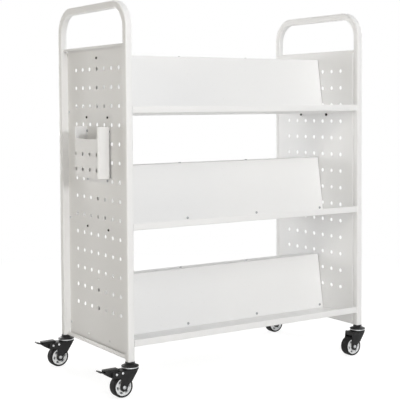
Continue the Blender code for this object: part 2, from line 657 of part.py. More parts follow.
def build_yoke(name, swivel, braked):
    deck_foot = YOKE_TOP - YOKE_DECK
    lap = YOKE_PLATE / 3
    deck = [(0, 0, YOKE_TOP - YOKE_DECK / 2)]
    disc = rods("yoke_deck", deck, YOKE_DISC_RADIUS, YOKE_DECK, (0, 0, 1), ROUND_SIDES)
    made = piece(name, disc, BLACK_PAINT, swivel)
    side = yoke_outline(braked)
    join(made, flat_mesh("yoke_side", side, YOKE_INNER, YOKE_OUTER, ACROSS_Y), "front_side")
    join(made, flat_mesh("yoke_side", side, -YOKE_OUTER, -YOKE_INNER, ACROSS_Y), "rear_side")
    edge = (Vector((YOKE_WAIST_REACH, YOKE_WAIST_HEIGHT)), Vector((YOKE_SHOULDER, YOKE_ARM_TOP)))
    way = edge[1] - edge[0]
    wall_foot = edge[0] + way * ((YOKE_FRONT_WALL_FOOT - edge[0].y) / way.y)
    shift = Vector((-lap / 2, 0))
    thick = Vector((-YOKE_PLATE, 0))
    wall = [edge[1] + shift, edge[1] + shift + thick, wall_foot + shift + thick, wall_foot + shift]
    half = YOKE_INNER + lap
    join(made, flat_mesh("yoke_wall", [tuple(p) for p in wall], -half, half, ACROSS_Y), "wall")
    under = deck_foot - YOKE_PLATE + lap
    outer = -YOKE_NECK_REACH if braked else -YOKE_SHORT_REACH + YOKE_BRIDGE / 2
    back = boxes("yoke_back", [((outer, -half, under), (-YOKE_BACK_REACH, half, deck_foot + lap))])
    join(made, back, "back")
    if not braked:
        outer = -YOKE_SHORT_REACH + lap / 2
        foot = 2 * WHEEL_RADIUS + YOKE_BRIDGE_GAP
        bridge = boxes("yoke_bridge", [((outer, -half, foot), (outer + YOKE_BRIDGE, half, YOKE_BRIDGE_TOP))])
        join(made, bridge, "bridge")
    through = 3 * YOKE_OUTER
    axle = [(-CASTER_TRAIL, 0, WHEEL_RADIUS)]
    cut(made, rods("axle_hole", axle, hole(AXLE_RADIUS), through, (0, 1, 0), SMALL_SIDES), "axle_hole")
    kingpin = hole(KINGPIN_RADIUS, ROUND_SIDES)
    cut(made, rods("kingpin_hole", deck, kingpin, 4 * YOKE_DECK, (0, 0, 1), ROUND_SIDES), "kingpin_hole")
    if braked:
        pin = [(-PIVOT_REACH, 0, PIVOT_HEIGHT)]
        cut(made, rods("pin_hole", pin, hole(PIVOT_RADIUS), through, (0, 1, 0), SMALL_SIDES), "pin_hole")


def build_wheel(name, axle_point):
    rim_half = RIM_BAND_WIDTH / 2
    hub_half = YOKE_INNER - CLEARANCE
    bore = hole(AXLE_RADIUS)
    well = RIM_RADIUS - RIM_BAND
    hub = [(bore, hub_half), (HUB_RADIUS, hub_half)]
    upper = hub + [(HUB_RADIUS, RIM_WEB / 2), (well, RIM_WEB / 2), (well, rim_half)]
    lower = [(r, -z) for r, z in reversed(upper)]
    profile = [(RIM_RADIUS, rim_half), (RIM_RADIUS, -rim_half)] + lower + upper
    turned(f"{name}_rim", profile, WHEEL_FACETS, axle_point, RIM_PLASTIC, turn=LIE_ALONG_Y, ring=True)
    seat = RIM_RADIUS + CLEARANCE
    side = TYRE_WIDTH / 2
    tyre = [
        (WHEEL_RADIUS - TYRE_SHOULDER, side),
        (WHEEL_RADIUS, TYRE_TREAD / 2),
        (WHEEL_RADIUS, -TYRE_TREAD / 2),
        (WHEEL_RADIUS - TYRE_SHOULDER, -side),
        (seat, -side),
        (seat, side),
    ]
    turned(f"{name}_tyre", tyre, WHEEL_FACETS, axle_point, RUBBER, turn=LIE_ALONG_Y, ring=True)


def build_axle(name, axle_point):
    end = YOKE_OUTER + CLEARANCE
    head = domed_head(AXLE_HEAD_RADIUS, AXLE_HEAD, end) + [(AXLE_RADIUS, end)]
    profile = head + [(r, -z) for r, z in reversed(head)]
    turned(name, profile, SMALL_SIDES, axle_point, ZINC, turn=LIE_ALONG_Y)


def build_race(name, swivel):
    top = RACE_FOOT + RACE
    profile = [(RACE_RADIUS, top), (RACE_RADIUS, RACE_FOOT), (RACE_BORE, RACE_FOOT), (RACE_BORE, top)]
    turned(name, profile, ROUND_SIDES, swivel, ZINC, ring=True)


def pedal_outline():
    """Side of the pedal about its pin: cover above, lever with a turned-up tip below, shoe over the tyre."""
    under = PEDAL_TOP - PEDAL_COVER
    fillet = under - PEDAL_COVER / 4
    tip = Vector((-PEDAL_REACH, PEDAL_TOP - PEDAL_LEVER / 2))
    root = Vector((-PEDAL_LEVER_ROOT_REACH, PEDAL_LEVER_ROOT_HEIGHT))
    way = (root - tip).normalized()
    up = Vector((-way.y, way.x)) * PEDAL_LEVER
    crotch = root + up - way * PEDAL_LEVER
    points = [
        (-PEDAL_HEEL_REACH, PEDAL_TOP),
        (-PEDAL_HEEL_REACH, under),
        (-PIVOT_REACH + 3 * PIVOT_RADIUS, fillet),
        (-PIVOT_REACH + 2 * PIVOT_RADIUS, PIVOT_HEIGHT - 2 * PIVOT_RADIUS),
        (-PEDAL_SHOE_REACH + PIVOT_RADIUS / 2, PEDAL_SHOE_HEIGHT),
        (-PEDAL_SHOE_REACH - PIVOT_RADIUS / 2, PEDAL_SHOE_HEIGHT),
        tuple(root),
        tuple(tip),
        (tip.x + PEDAL_LEVER / 2, PEDAL_TOP + PEDAL_LEVER / 4),
        tuple(tip + up + way * PEDAL_LEVER),
        tuple(crotch),
        (crotch.x, fillet),
        (-PEDAL_COVER_REACH, under),
        (-PEDAL_COVER_REACH, PEDAL_TOP),
    ]
    return [(x + PIVOT_REACH, z - PIVOT_HEIGHT) for x, z in points]


def build_pedal(name, swivel):
    half = PEDAL_WIDTH / 2
    mesh = flat_mesh(name, pedal_outline(), -half, half, ACROSS_Y)
    made = piece(name, mesh, BLACK_PAINT, swivel, (-PIVOT_REACH, 0, PIVOT_HEIGHT))
    length = 2 * (YOKE_OUTER + PIVOT_STANDS_OUT)
    join(made, rods("pin", [(0, 0, 0)], PIVOT_RADIUS, length, (0, 1, 0), SMALL_SIDES), "pin")


def build_caster(place, end, x, y, braked, root):
    name = f"caster_{place}_{end}"
    swivel = empty(name, root, (x, y, 0))
    build_stem(f"{name}_stem", swivel)
    build_race(f"{name}_race", swivel)
    build_yoke(f"{name}_yoke", swivel, braked)
    axle_point = empty(f"{name}_wheel", swivel, (-CASTER_TRAIL, 0, WHEEL_RADIUS))
    build_axle(f"{name}_axle", axle_point)
    build_wheel(name, axle_point)
    if braked:
        build_pedal(f"brake_pedal_{place}_{end}", swivel)


clear_scene()
PARTS = collection("book_trolley")
CUTTERS = collection("cutters")
trolley = empty("trolley", None, (GROUND_SHIFT, 0, 0))
for end_name, end_side in (("left", -1), ("right", 1)):
    build_end_frame(end_name, end_side, trolley)
    build_end_panel(end_name, end_side, trolley)
    build_bolts(end_name, end_side, trolley)
    for row_name, row_side in (("front", -1), ("rear", 1)):
        post = (end_side * POST_MIDDLE_X, row_side * POST_MIDDLE_Y)
        build_caster(row_name, end_name, *post, end_name == "left", trolley)
for tier_name in TIERS:
    build_tray(tier_name, "front", TURN_LEFT, trolley)
    build_tray(tier_name, "rear", TURN_RIGHT, trolley)
    build_divider(tier_name, trolley)
build_holder(trolley)
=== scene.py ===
# %% [markdown]
# # Dressing a library book trolley
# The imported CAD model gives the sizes, the places and the joints of a double-sided book trolley. In this
# lesson each plain solid is replaced by a finer piece in the same place: bent tube, folded sheet, round
# perforations, screws with driven heads, and casters with rounded edges. Each piece gets its finish and is
# tied to the body that carries it.

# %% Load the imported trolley
import math

import bmesh
import bpy
from mathutils import Matrix, Vector


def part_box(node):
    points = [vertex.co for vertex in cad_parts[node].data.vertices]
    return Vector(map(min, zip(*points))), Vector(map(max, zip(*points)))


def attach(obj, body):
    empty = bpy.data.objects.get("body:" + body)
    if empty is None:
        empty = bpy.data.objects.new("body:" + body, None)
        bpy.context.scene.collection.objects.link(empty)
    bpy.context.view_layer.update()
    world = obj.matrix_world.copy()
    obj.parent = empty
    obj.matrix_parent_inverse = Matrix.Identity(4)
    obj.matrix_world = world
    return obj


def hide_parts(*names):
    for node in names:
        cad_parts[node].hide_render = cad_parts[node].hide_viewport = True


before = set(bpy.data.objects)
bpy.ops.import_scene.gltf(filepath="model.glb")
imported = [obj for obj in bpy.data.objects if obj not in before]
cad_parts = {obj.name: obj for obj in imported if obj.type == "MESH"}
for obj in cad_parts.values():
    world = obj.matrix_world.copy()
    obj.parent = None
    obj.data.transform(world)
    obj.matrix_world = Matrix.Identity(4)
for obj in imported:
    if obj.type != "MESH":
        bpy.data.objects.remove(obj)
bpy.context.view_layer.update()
MIDDLE = Vector(((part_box("end_frame_left")[0].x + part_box("end_frame_right")[1].x) / 2, 0, 0))
print("middle of the frame:", round(MIDDLE.x, 5))

# %% [markdown]
# ## Writing node trees as sums
# Finishes and repeated pieces are both made of nodes. Linking nodes by hand hides the sums in them, so one
# small class wraps an output socket and overloads the operators: an expression such as 0.4 + 0.1 * grain
# then adds its own Math nodes. Every other node comes from one method that takes a type, its settings and
# its sockets.


# %% One wire, one tree
class Wire:
    """One output socket. Arithmetic on it adds Math nodes to its tree."""

    def __init__(self, tree, socket):
        self.tree, self.socket = tree, socket

    def worked(self, operation, first, second):
        return self.tree.node("ShaderNodeMath", {"operation": operation}, {0: first, 1: second})

    def __add__(self, other):
        return self.worked("ADD", self, other)

    def __radd__(self, other):
        return self.worked("ADD", other, self)

    def __sub__(self, other):
        return self.worked("SUBTRACT", self, other)

    def __rsub__(self, other):
        return self.worked("SUBTRACT", other, self)

    def __mul__(self, other):
        return self.worked("MULTIPLY", self, other)

    def __rmul__(self, other):
        return self.worked("MULTIPLY", other, self)


class Tree:
    """A node tree, and the one way in which this lesson adds a node to it."""

    def __init__(self, nodes):
        self.nodes = nodes
        nodes.nodes.clear()

    def node(self, kind, settings=(), sockets=(), output=0):
        made = self.nodes.nodes.new(kind)
        for name, value in dict(settings).items():
            setattr(made, name, value)
        for name, value in dict(sockets).items():
            for one in value if isinstance(value, list) else [value]:
                if isinstance(one, Wire):
                    self.nodes.links.new(one.socket, made.inputs[name])
                else:
                    made.inputs[name].default_value = one
        return Wire(self, made.outputs[output]) if len(made.outputs) else None


print("node helpers ready")

# %% [markdown]
# ## The camera
# The place of the camera was fitted to the perforations and posts of the photograph: it stands about 3.4 m
# away, to the left of the front, a little below the height of the handle. The photograph is cropped, so
# that its centre is not the lens's own centre, and a small vertical shift stands for that crop.

# %% Stand the camera where the photograph was taken
FRAME_PIXELS = 400
SENSOR_WIDTH = 36.0
CAMERA_PLACE = Vector((-1.8618, -2.7827, 0.8463))
CAMERA_YAW, CAMERA_PITCH, CAMERA_ROLL = (math.radians(a) for a in (33.031, -2.731, -0.333))
CAMERA_FOCUS = 1017.24  # in pixels of the photograph
CAMERA_CENTRE = 152.7  # height of the lens's own centre in the photograph, in pixels from its top edge

ahead = Vector((
    math.sin(CAMERA_YAW) * math.cos(CAMERA_PITCH),
    math.cos(CAMERA_YAW) * math.cos(CAMERA_PITCH),
    math.sin(CAMERA_PITCH),
))
level = Vector((math.cos(CAMERA_YAW), -math.sin(CAMERA_YAW), 0))
over = level.cross(ahead)
right = math.cos(CAMERA_ROLL) * level + math.sin(CAMERA_ROLL) * over
up = math.cos(CAMERA_ROLL) * over - math.sin(CAMERA_ROLL) * level
lens = bpy.data.cameras.new("camera")
lens.sensor_fit = "HORIZONTAL"
lens.sensor_width = SENSOR_WIDTH
lens.lens = CAMERA_FOCUS * SENSOR_WIDTH / FRAME_PIXELS
lens.shift_y = (CAMERA_CENTRE - FRAME_PIXELS / 2) / FRAME_PIXELS
lens.clip_end = 100.0
camera = bpy.data.objects.new("camera", lens)
turn = Matrix((right, up, -ahead)).transposed().to_4x4()
camera.matrix_world = Matrix.Translation(CAMERA_PLACE + MIDDLE) @ turn
bpy.context.scene.collection.objects.link(camera)
bpy.context.scene.camera = camera
bpy.context.scene.view_settings.view_transform = "Standard"
print("lens:", round(lens.lens, 1), "mm, shift:", round(lens.shift_y, 3))

# %% [markdown]
# ## Floor and sky
# The photograph is a cut-out on white, so floor and sky must look white to the camera and still light the
# trolley at a plain level. The sky shows white only to camera, mirror and glass rays. The floor adds a
# white glow for those rays to a dull surface, which keeps a soft shadow near the wheels and fades to plain
# white further out.


# %% White floor and sky
def seen(tree):
    """1 for a ray that shows the picture: straight to the camera, mirrored or through glass."""
    kinds = ("Is Camera Ray", "Is Glossy Ray", "Is Transmission Ray")
    direct, mirrored, through = (tree.node("ShaderNodeLightPath", output=kind) for kind in kinds)
    added = {"operation": "ADD", "use_clamp": True}
    return tree.node("ShaderNodeMath", added, {0: direct + mirrored, 1: through})


WHITE = (1.0, 1.0, 1.0, 1.0)
SKY_COLOUR, SKY_STRENGTH = (1.0, 1.0, 0.995, 1.0), 0.245
world = bpy.data.worlds.new("studio")
world.use_nodes = True
bpy.context.scene.world = world
sky = Tree(world.node_tree)
dim = sky.node("ShaderNodeBackground", {}, {"Color": SKY_COLOUR, "Strength": SKY_STRENGTH})
white = sky.node("ShaderNodeBackground", {}, {"Color": WHITE, "Strength": 1.0})
mixed = sky.node("ShaderNodeMixShader", {}, {0: seen(sky), 1: dim, 2: white})
sky.node("ShaderNodeOutputWorld", {}, {"Surface": mixed})

FLOOR_HALF, SHADOW_NEAR, SHADOW_FAR = 12.0, 0.9, 2.4
FLOOR_COLOUR, SHADOW_COLOUR, FLOOR_GLOW = (0.8, 0.79, 0.77, 1.0), (0.34, 0.34, 0.34, 1.0), 0.82
floor_mesh = bpy.data.meshes.new("studio_floor")
corners = [(x * FLOOR_HALF, y * FLOOR_HALF, 0) for x, y in ((-1, -1), (1, -1), (1, 1), (-1, 1))]
floor_mesh.from_pydata(corners, [], [(0, 1, 2, 3)])
floor = bpy.data.objects.new("studio_floor", floor_mesh)
bpy.context.scene.collection.objects.link(floor)
floor_paint = bpy.data.materials.new("studio_floor")
floor_paint.use_nodes = True
ground = Tree(floor_paint.node_tree)
dull = ground.node("ShaderNodeBsdfDiffuse", {}, {"Color": FLOOR_COLOUR})
shade = ground.node("ShaderNodeBsdfDiffuse", {}, {"Color": SHADOW_COLOUR})
glow = ground.node("ShaderNodeEmission", {}, {"Color": WHITE, "Strength": FLOOR_GLOW})
pale = ground.node("ShaderNodeAddShader", {}, {0: shade, 1: glow})
bright = ground.node("ShaderNodeEmission", {}, {"Color": WHITE, "Strength": 1.0})
place = ground.node("ShaderNodeTexCoord", output="Object")
reach = ground.node("ShaderNodeVectorMath", {"operation": "LENGTH"}, {0: place}, "Value")
far = ground.node("ShaderNodeMapRange", {"interpolation_type": "SMOOTHSTEP"}, {
    "Value": reach, "From Min": SHADOW_NEAR, "From Max": SHADOW_FAR,
})
pale = ground.node("ShaderNodeMixShader", {}, {0: far, 1: pale, 2: bright})
either = ground.node("ShaderNodeMixShader", {}, {0: seen(ground), 1: dull, 2: pale})
ground.node("ShaderNodeOutputMaterial", {}, {"Surface": either})
floor_mesh.materials.append(floor_paint)
print("floor and sky ready")

# %% [markdown]
# ## Lamps
# A lamp far in front gives the bright front faces and the holder's shadow on the post behind it. The others
# stand round the trolley like the soft boxes of a studio. The two at the left end are weak and warm, which
# leaves that panel a little darker and cream. The one behind shines in under the tiers.

# %% A ring of lamps
WARM, PLAIN = (1.0, 0.915, 0.75), (1.0, 1.0, 1.0)
LAMP_AIM = Vector((0, 0, 0.6))
LAMPS = (
    # name, place, size, power, colour
    ("front_lamp", (-1.36, -8.0, 2.0), 0.55, 148.0, PLAIN),
    ("front_high_lamp", (-0.25, -3.6, 3.2), 2.0, 50.0, PLAIN),
    ("front_low_lamp", (-1.9, -3.8, 0.35), 1.6, 9.0, PLAIN),
    ("left_front_lamp", (-5.0, -2.3, 2.3), 0.9, 25.0, WARM),
    ("left_lamp", (-5.0, 0.3, 2.0), 2.0, 15.0, WARM),
    ("right_lamp", (5.0, 1.0, 1.4), 2.5, 112.0, PLAIN),
    ("rear_lamp", (-0.38, 2.4, 0.78), 1.3, 31.0, PLAIN),
    ("ceiling_lamp", (0.0, 0.0, 6.0), 4.0, 28.0, PLAIN),
)
for name, place, size, power, colour in LAMPS:
    light = bpy.data.lights.new(name, "AREA")
    light.shape, light.size, light.energy, light.color = "DISK", size, power, colour
    lamp = bpy.data.objects.new(name, light)
    turn = (LAMP_AIM - Vector(place)).to_track_quat("-Z", "Y").to_matrix().to_4x4()
    lamp.matrix_world = Matrix.Translation(Vector(place) + MIDDLE) @ turn
    bpy.context.scene.collection.objects.link(lamp)

# %% [markdown]
# ## Finishes
# Seven finishes cover the trolley. None is one flat colour: powder coat has a fine orange peel and a slight
# cloudiness, black paint has a finer one and picks up dust, zinc shows the marks of the turning tool, and
# rubber is scuffed. All the patterns are noise on Object coordinates in metres, so that they keep their
# real scale on every piece.


# %% A finish with one shader
class Finish(Tree):
    """A material of one Principled shader, patterned on Object coordinates."""

    def __init__(self, name, slot, **plain):
        self.material = bpy.data.materials.new(name)
        self.material.use_nodes = True
        self.slot = slot
        super().__init__(self.material.node_tree)
        self.shader = self.nodes.nodes.new("ShaderNodeBsdfPrincipled")
        for socket, value in plain.items():
            self.shader.inputs[socket.replace("_", " ")].default_value = value
        self.node("ShaderNodeOutputMaterial", {}, {"Surface": Wire(self, self.shader.outputs[0])})
        self.place = self.node("ShaderNodeTexCoord", output="Object")

    def noise(self, scale, detail=2.0, stretch=None):
        spot = self.place
        if stretch:
            spot = self.node("ShaderNodeMapping", {}, {"Vector": spot, "Scale": stretch})
        return self.node("ShaderNodeTexNoise", {}, {"Vector": spot, "Scale": scale, "Detail": detail})

    def above(self, value, low, high):
        """0 below low, 1 above high, and smooth between them."""
        limits = {"Value": value, "From Min": low, "From Max": high}
        return self.node("ShaderNodeMapRange", {"interpolation_type": "SMOOTHSTEP"}, limits)

    def blend(self, share, first, second):
        ends = [c if isinstance(c, Wire) else (*c, 1.0) for c in (first, second)]
        return self.node("ShaderNodeMix", {"data_type": "RGBA"}, {0: share, 6: ends[0], 7: ends[1]}, 2)

    def lay(self, colour, roughness, height, depth):
        """Joins colour, roughness and a bump of that depth in metres to the shader."""
        bump = self.node("ShaderNodeBump", {}, {"Strength": 1.0, "Distance": depth, "Height": height})
        for socket, value in (("Base Color", colour), ("Roughness", roughness), ("Normal", bump)):
            self.nodes.links.new(value.socket, self.shader.inputs[socket])
        print("finish:", self.material.name)


print("finish helper ready")

# %% [markdown]
# ### White powder coat
# Powder is sprayed on dry and baked, which leaves a satin skin with a fine orange peel. Use polishes it in
# faint streaks along the shelves, where books slide in and out.

# %% White powder coat
powder_coat = Finish("white_powder_coat_paint", "white_powder_coat", Specular_IOR_Level=0.35)
peel = powder_coat.noise(520.0, 3.0)
cloud = powder_coat.noise(3.5, 3.0)
rubbed = powder_coat.above(powder_coat.noise(9.0, 4.0, (0.6, 7.0, 7.0)), 0.52, 0.72)
speck = powder_coat.above(powder_coat.noise(210.0, 1.0), 0.70, 0.78)
coat_colour = powder_coat.blend(cloud, (0.880, 0.880, 0.878), (0.912, 0.912, 0.911))
coat_colour = powder_coat.blend(0.25 * speck, coat_colour, (0.70, 0.69, 0.67))
powder_coat.lay(coat_colour, 0.40 + 0.10 * peel - 0.07 * rubbed, peel, 0.00004)

# %% [markdown]
# ### Black caster paint, black bolts
# The casters are pressed steel under a thin semi-gloss paint. Dust settles on it unevenly and lifts the
# black a little. The bolts are blackened steel, browner and duller, with a fine grain.

# %% The two blacks
caster_black = Finish("black_caster_enamel", "black_caster_paint", Specular_IOR_Level=0.28)
grain = caster_black.noise(900.0)
dust = caster_black.above(caster_black.noise(60.0, 4.0), 0.45, 0.75)
black = caster_black.blend(0.25 * dust, (0.009, 0.009, 0.0095), (0.045, 0.044, 0.043))
caster_black.lay(black, 0.30 + 0.12 * grain + 0.15 * dust, grain, 0.00003)

screw_black = Finish("blackened_screw_steel", "black_oxide_steel", Specular_IOR_Level=0.4)
pores = screw_black.noise(1600.0)
oxide = screw_black.blend(pores, (0.020, 0.019, 0.019), (0.050, 0.046, 0.042))
screw_black.lay(oxide, 0.36 + 0.16 * pores, pores, 0.00003)

# %% [markdown]
# ### Bright zinc, dull steel, rim plastic and rubber
# The races and rivets are turned steel under bright zinc: fine rings and a slightly cloudy shine. The axle
# caps and the small screws of the dividers and the holder have dulled. The rims are moulded in white
# plastic with a faint flow pattern. The tyres are matt black rubber, scuffed grey where they roll.

# %% Zinc, steel, plastic and rubber
zinc = Finish("bright_zinc_plate", "bright_zinc", Metallic=1.0)
rings = zinc.noise(260.0, 2.0, (1.0, 1.0, 14.0))
bloom = zinc.blend(zinc.noise(140.0, 3.0), (0.58, 0.59, 0.60), (0.71, 0.72, 0.73))
zinc.lay(bloom, 0.34 + 0.14 * rings, rings, 0.00002)

dull_steel = Finish("dull_screw_steel", "bright_zinc", Metallic=1.0)
turning = dull_steel.noise(420.0, 2.0, (1.0, 9.0, 1.0))
grey = dull_steel.blend(turning, (0.38, 0.39, 0.40), (0.50, 0.51, 0.52))
dull_steel.lay(grey, 0.40 + 0.15 * turning, turning, 0.00002)

rim_plastic = Finish("white_moulded_plastic", "white_rim_plastic")
flow = rim_plastic.blend(rim_plastic.noise(120.0, 3.0), (0.80, 0.815, 0.83), (0.85, 0.865, 0.88))
skin_grain = rim_plastic.noise(1300.0)
rim_plastic.lay(flow, 0.26 + 0.1 * skin_grain, skin_grain, 0.00002)

rubber = Finish("black_tyre_rubber_matt", "black_tyre_rubber", Specular_IOR_Level=0.2)
texture = rubber.noise(700.0, 3.0)
scuff = rubber.above(rubber.noise(90.0, 4.0), 0.42, 0.7)
scuffed = rubber.blend(0.4 * scuff, (0.009, 0.009, 0.0095), (0.036, 0.035, 0.034))
rubber.lay(scuffed, 0.52 + 0.16 * texture + 0.1 * scuff, texture, 0.00006)

# %% [markdown]
# ## Drawing tools
# Almost everything here is a flat drawing that is swept: a sheet's edge line along the shelf, a tube's
# section along its bend, a profile round an axis. So a few functions round the corners of a line, offset it
# by a wall, and skin a row of closed rings. Working in bmesh keeps each piece one clean closed shell.


# %% Lines: round their corners, move them sideways
def soften(points, radius, steps=5, closed=False):
    """Rounds the corners of a line; radius is one number, or one for each corner."""
    points = [Vector(p) for p in points]
    count = len(points)
    picked = range(count) if closed else range(1, count - 1)
    radii = list(radius) if isinstance(radius, (list, tuple)) else [radius] * len(picked)
    line = [] if closed else [points[0]]
    for index, bend in zip(picked, radii):
        corner = points[index]
        back = (points[index - 1] - corner).normalized()
        on = (points[(index + 1) % count] - corner).normalized()
        half = back.angle(on) / 2
        if bend <= 0 or half > math.radians(89.5):
            line.append(corner)
            continue
        middle = corner + (back + on).normalized() * (bend / math.sin(half))
        start, end = (corner + way * (bend / math.tan(half)) - middle for way in (back, on))
        first = math.atan2(start.y, start.x)
        sweep = math.remainder(math.atan2(end.y, end.x) - first, 2 * math.pi)
        for step in range(steps + 1):
            angle = first + sweep * step / steps
            line.append(middle + Vector((math.cos(angle), math.sin(angle))) * bend)
    return line if closed else line + [points[-1]]


def aside(line, distance, closed=False):
    """The same line, moved to its left by distance."""
    moved = []
    for index, point in enumerate(line):
        ways = []
        if closed or index > 0:
            ways.append((point - line[index - 1]).normalized())
        if closed or index + 1 < len(line):
            ways.append((line[(index + 1) % len(line)] - point).normalized())
        sides = [Vector((-way.y, way.x)) for way in ways]
        both = sides[0] + sides[-1]
        moved.append(point + both * (distance / both.dot(sides[0])))
    return moved


def sheet_edge(line, wall):
    """The closed edge of a sheet with one side on the line; the wall is to its left, or right if negative."""
    return line + aside(line, wall)[::-1]


def arc(middle, radius, start, end, steps):
    """Points of an arc, from start to end in degrees."""
    angles = [math.radians(start + (end - start) * step / steps) for step in range(steps + 1)]
    return [Vector((middle[0] + radius * math.cos(a), middle[1] + radius * math.sin(a))) for a in angles]


def rectangle(left, foot, right, top):
    """Its four corners, anticlockwise."""
    return [(left, foot), (right, foot), (right, top), (left, top)]


print("line tools ready")


# %% [markdown]
# ### Skins
# A shell is skinned over its rings, and the same few lines make prisms, rounded plates and turned profiles.
# The last two functions close a shape and settle it: in its place, in its finish and on the body that
# carries it.


# %% Skins: rows of rings, prisms, rounded plates, turned profiles
SEAM = 0.000002


def skin(body, rings, ring_row=False):
    """Closes a row of rings to a shell: capped at both ends, or joined end to start."""
    rows = [[body.verts.new(point) for point in ring] for ring in rings]
    pairs = list(zip(rows, rows[1:])) + ([(rows[-1], rows[0])] if ring_row else [])
    for near, far in pairs:
        for index in range(len(near)):
            after = (index + 1) % len(near)
            body.faces.new((near[index], near[after], far[after], far[index]))
    if not ring_row:
        body.faces.new(rows[0][::-1])
        body.faces.new(rows[-1])
    return [vert for row in rows for vert in row]


def along_x(u, v, w):
    return (w, u, v)


def along_y(u, v, w):
    return (u, w, v)


def along_z(u, v, w):
    return (u, v, w)


def prism(body, loop, low, high, way):
    skin(body, [[way(p[0], p[1], w) for p in loop] for w in (low, high)])


def plate(body, loop, low, high, edge, way, steps=2):
    """A prism whose two outlines are rounded off; the loop runs anticlockwise."""
    rows = []
    for step in range(steps + 1):
        angle = math.pi / 2 * step / steps
        rows.append((edge * (1 - math.sin(angle)), low + edge * (1 - math.cos(angle))))
    rows += [(inset, low + high - w) for inset, w in reversed(rows)]
    skin(body, [[way(p.x, p.y, w) for p in aside(loop, inset, True)] for inset, w in rows])


def turned(body, profile, sides, place=(0, 0, 0), way=along_z):
    """Spins a closed profile of (radius, height) points round an axis."""
    rings = []
    for side in range(sides):
        angle = 2 * math.pi * side / sides
        ring = [way(r * math.cos(angle), r * math.sin(angle), h) for r, h in profile]
        rings.append([Vector(place) + Vector(p) for p in ring])
    bmesh.ops.remove_doubles(body, verts=skin(body, rings, True), dist=SEAM)


def closed_mesh(body, sharp=32.0):
    """Turns the faces of every shell outwards and keeps edges crisp above an angle."""
    bmesh.ops.recalc_face_normals(body, faces=body.faces)
    mesh = bpy.data.meshes.new("shape")
    body.to_mesh(mesh)
    body.free()
    mesh.shade_smooth()
    mesh.set_sharp_from_angle(angle=math.radians(sharp))
    return mesh


def settle(name, shape, finish, body, *nodes, at=(0, 0, 0)):
    """Moves a shape drawn about the frame's middle to its place, paints it and ties it to its body."""
    mesh = shape if isinstance(shape, bpy.types.Mesh) else closed_mesh(shape)
    mesh.name = name
    for shift in (Vector(at), MIDDLE):
        mesh.transform(Matrix.Translation(shift))
    mesh.materials.clear()
    mesh.materials.append(finish.material)
    made = bpy.data.objects.new(name, mesh)
    bpy.context.scene.collection.objects.link(made)
    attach(made, body)
    if nodes:
        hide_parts(*nodes)
    print(f"{name}: {len(mesh.polygons)} faces on {body}")


print("skin tools ready")

# %% [markdown]
# ## End frames
# Each end is one square steel tube, bent to an inverted U: two posts and the handle across them. A curve
# with a bevel object could sweep it, but its corners twist easily. Here every point of the rounded square
# section gets its own line, moved sideways from the tube's middle line, so that the section stays square
# through both bends.

# %% Bend the two tubes
POST_X, POST_Y = 0.439, 0.214
POST_FOOT, FRAME_TOP = 0.1, 1.15
POST_ROWS = (POST_FOOT, POST_FOOT + 0.03, 0.4, 0.8)
TUBE, TUBE_WALL, TUBE_CORNER = 0.022, 0.0015, 0.0042
HANDLE_BEND, BEND_STEPS = 0.072, 20
ENDS = (("left", -1), ("right", 1))
PLACES = (("front", -1), ("rear", 1))


def square_section(half, corner):
    return soften(rectangle(-half, -half, half, half), corner, 5, True)


bend_z, bend_y = FRAME_TOP - TUBE / 2 - HANDLE_BEND, POST_Y - HANDLE_BEND
run = [Vector((-POST_Y, z)) for z in POST_ROWS]
run += arc((-bend_y, bend_z), HANDLE_BEND, 180, 90, BEND_STEPS)
run += arc((bend_y, bend_z), HANDLE_BEND, 90, 0, BEND_STEPS)
run += [Vector((POST_Y, z)) for z in reversed(POST_ROWS)]
outside = square_section(TUBE / 2, TUBE_CORNER)
inside = square_section(TUBE / 2 - TUBE_WALL, TUBE_CORNER - TUBE_WALL)
for end, side in ENDS:
    body = bmesh.new()
    shells = []
    for section in (outside, inside):
        lines = [aside(run, point.y) for point in section]
        shells.append([
            [(side * POST_X + point.x, line[row].x, line[row].y) for point, line in zip(section, lines)]
            for row in range(len(run))
        ])
    skin(body, shells[0] + shells[1][::-1], True)
    settle(f"bent_tube_{end}", body, powder_coat, "frame", f"end_frame_{end}")

# %% [markdown]
# ## Trees for what repeats
# Holes, screws and recesses repeat, and Geometry Nodes can lay them out from a few numbers. Three trees do
# that here. They share these functions: one opens a tree with named inputs, one runs it and keeps the mesh,
# one draws a circle, one fills curves and gives the filled face a thickness, and one paints the result and
# closes the tree.


# %% What the trees share
def new_tree(name, **inputs):
    """An empty Geometry Nodes tree, its inputs named by kind; gives the tree and its input wires."""
    group = bpy.data.node_groups.new(name, "GeometryNodeTree")
    tree = Tree(group)
    named = [(label, kind) for kind, labels in inputs.items() for label in labels]
    for label, kind in named:
        group.interface.new_socket(label, in_out="INPUT", socket_type=f"NodeSocket{kind}")
    group.interface.new_socket("Geometry", in_out="OUTPUT", socket_type="NodeSocketGeometry")
    entry = group.nodes.new("NodeGroupInput")
    return tree, {label: Wire(tree, entry.outputs[label]) for label, _ in named}


def grown(tree, values, name, start=None):
    """Runs a tree on an object and returns what it made as a plain mesh."""
    mesh = start or bpy.data.meshes.new(name)
    holder = bpy.data.objects.new(name, mesh)
    bpy.context.scene.collection.objects.link(holder)
    modifier = holder.modifiers.new(name, "NODES")
    modifier.node_group = tree.nodes
    for item in tree.nodes.interface.items_tree:
        if item.in_out == "INPUT" and item.name in values:
            modifier[item.identifier] = values[item.name]
    bpy.context.view_layer.update()
    ready = holder.evaluated_get(bpy.context.evaluated_depsgraph_get())
    made = bpy.data.meshes.new_from_object(ready)
    holder.modifiers.remove(modifier)
    bpy.data.objects.remove(holder)
    made.name = name
    return made


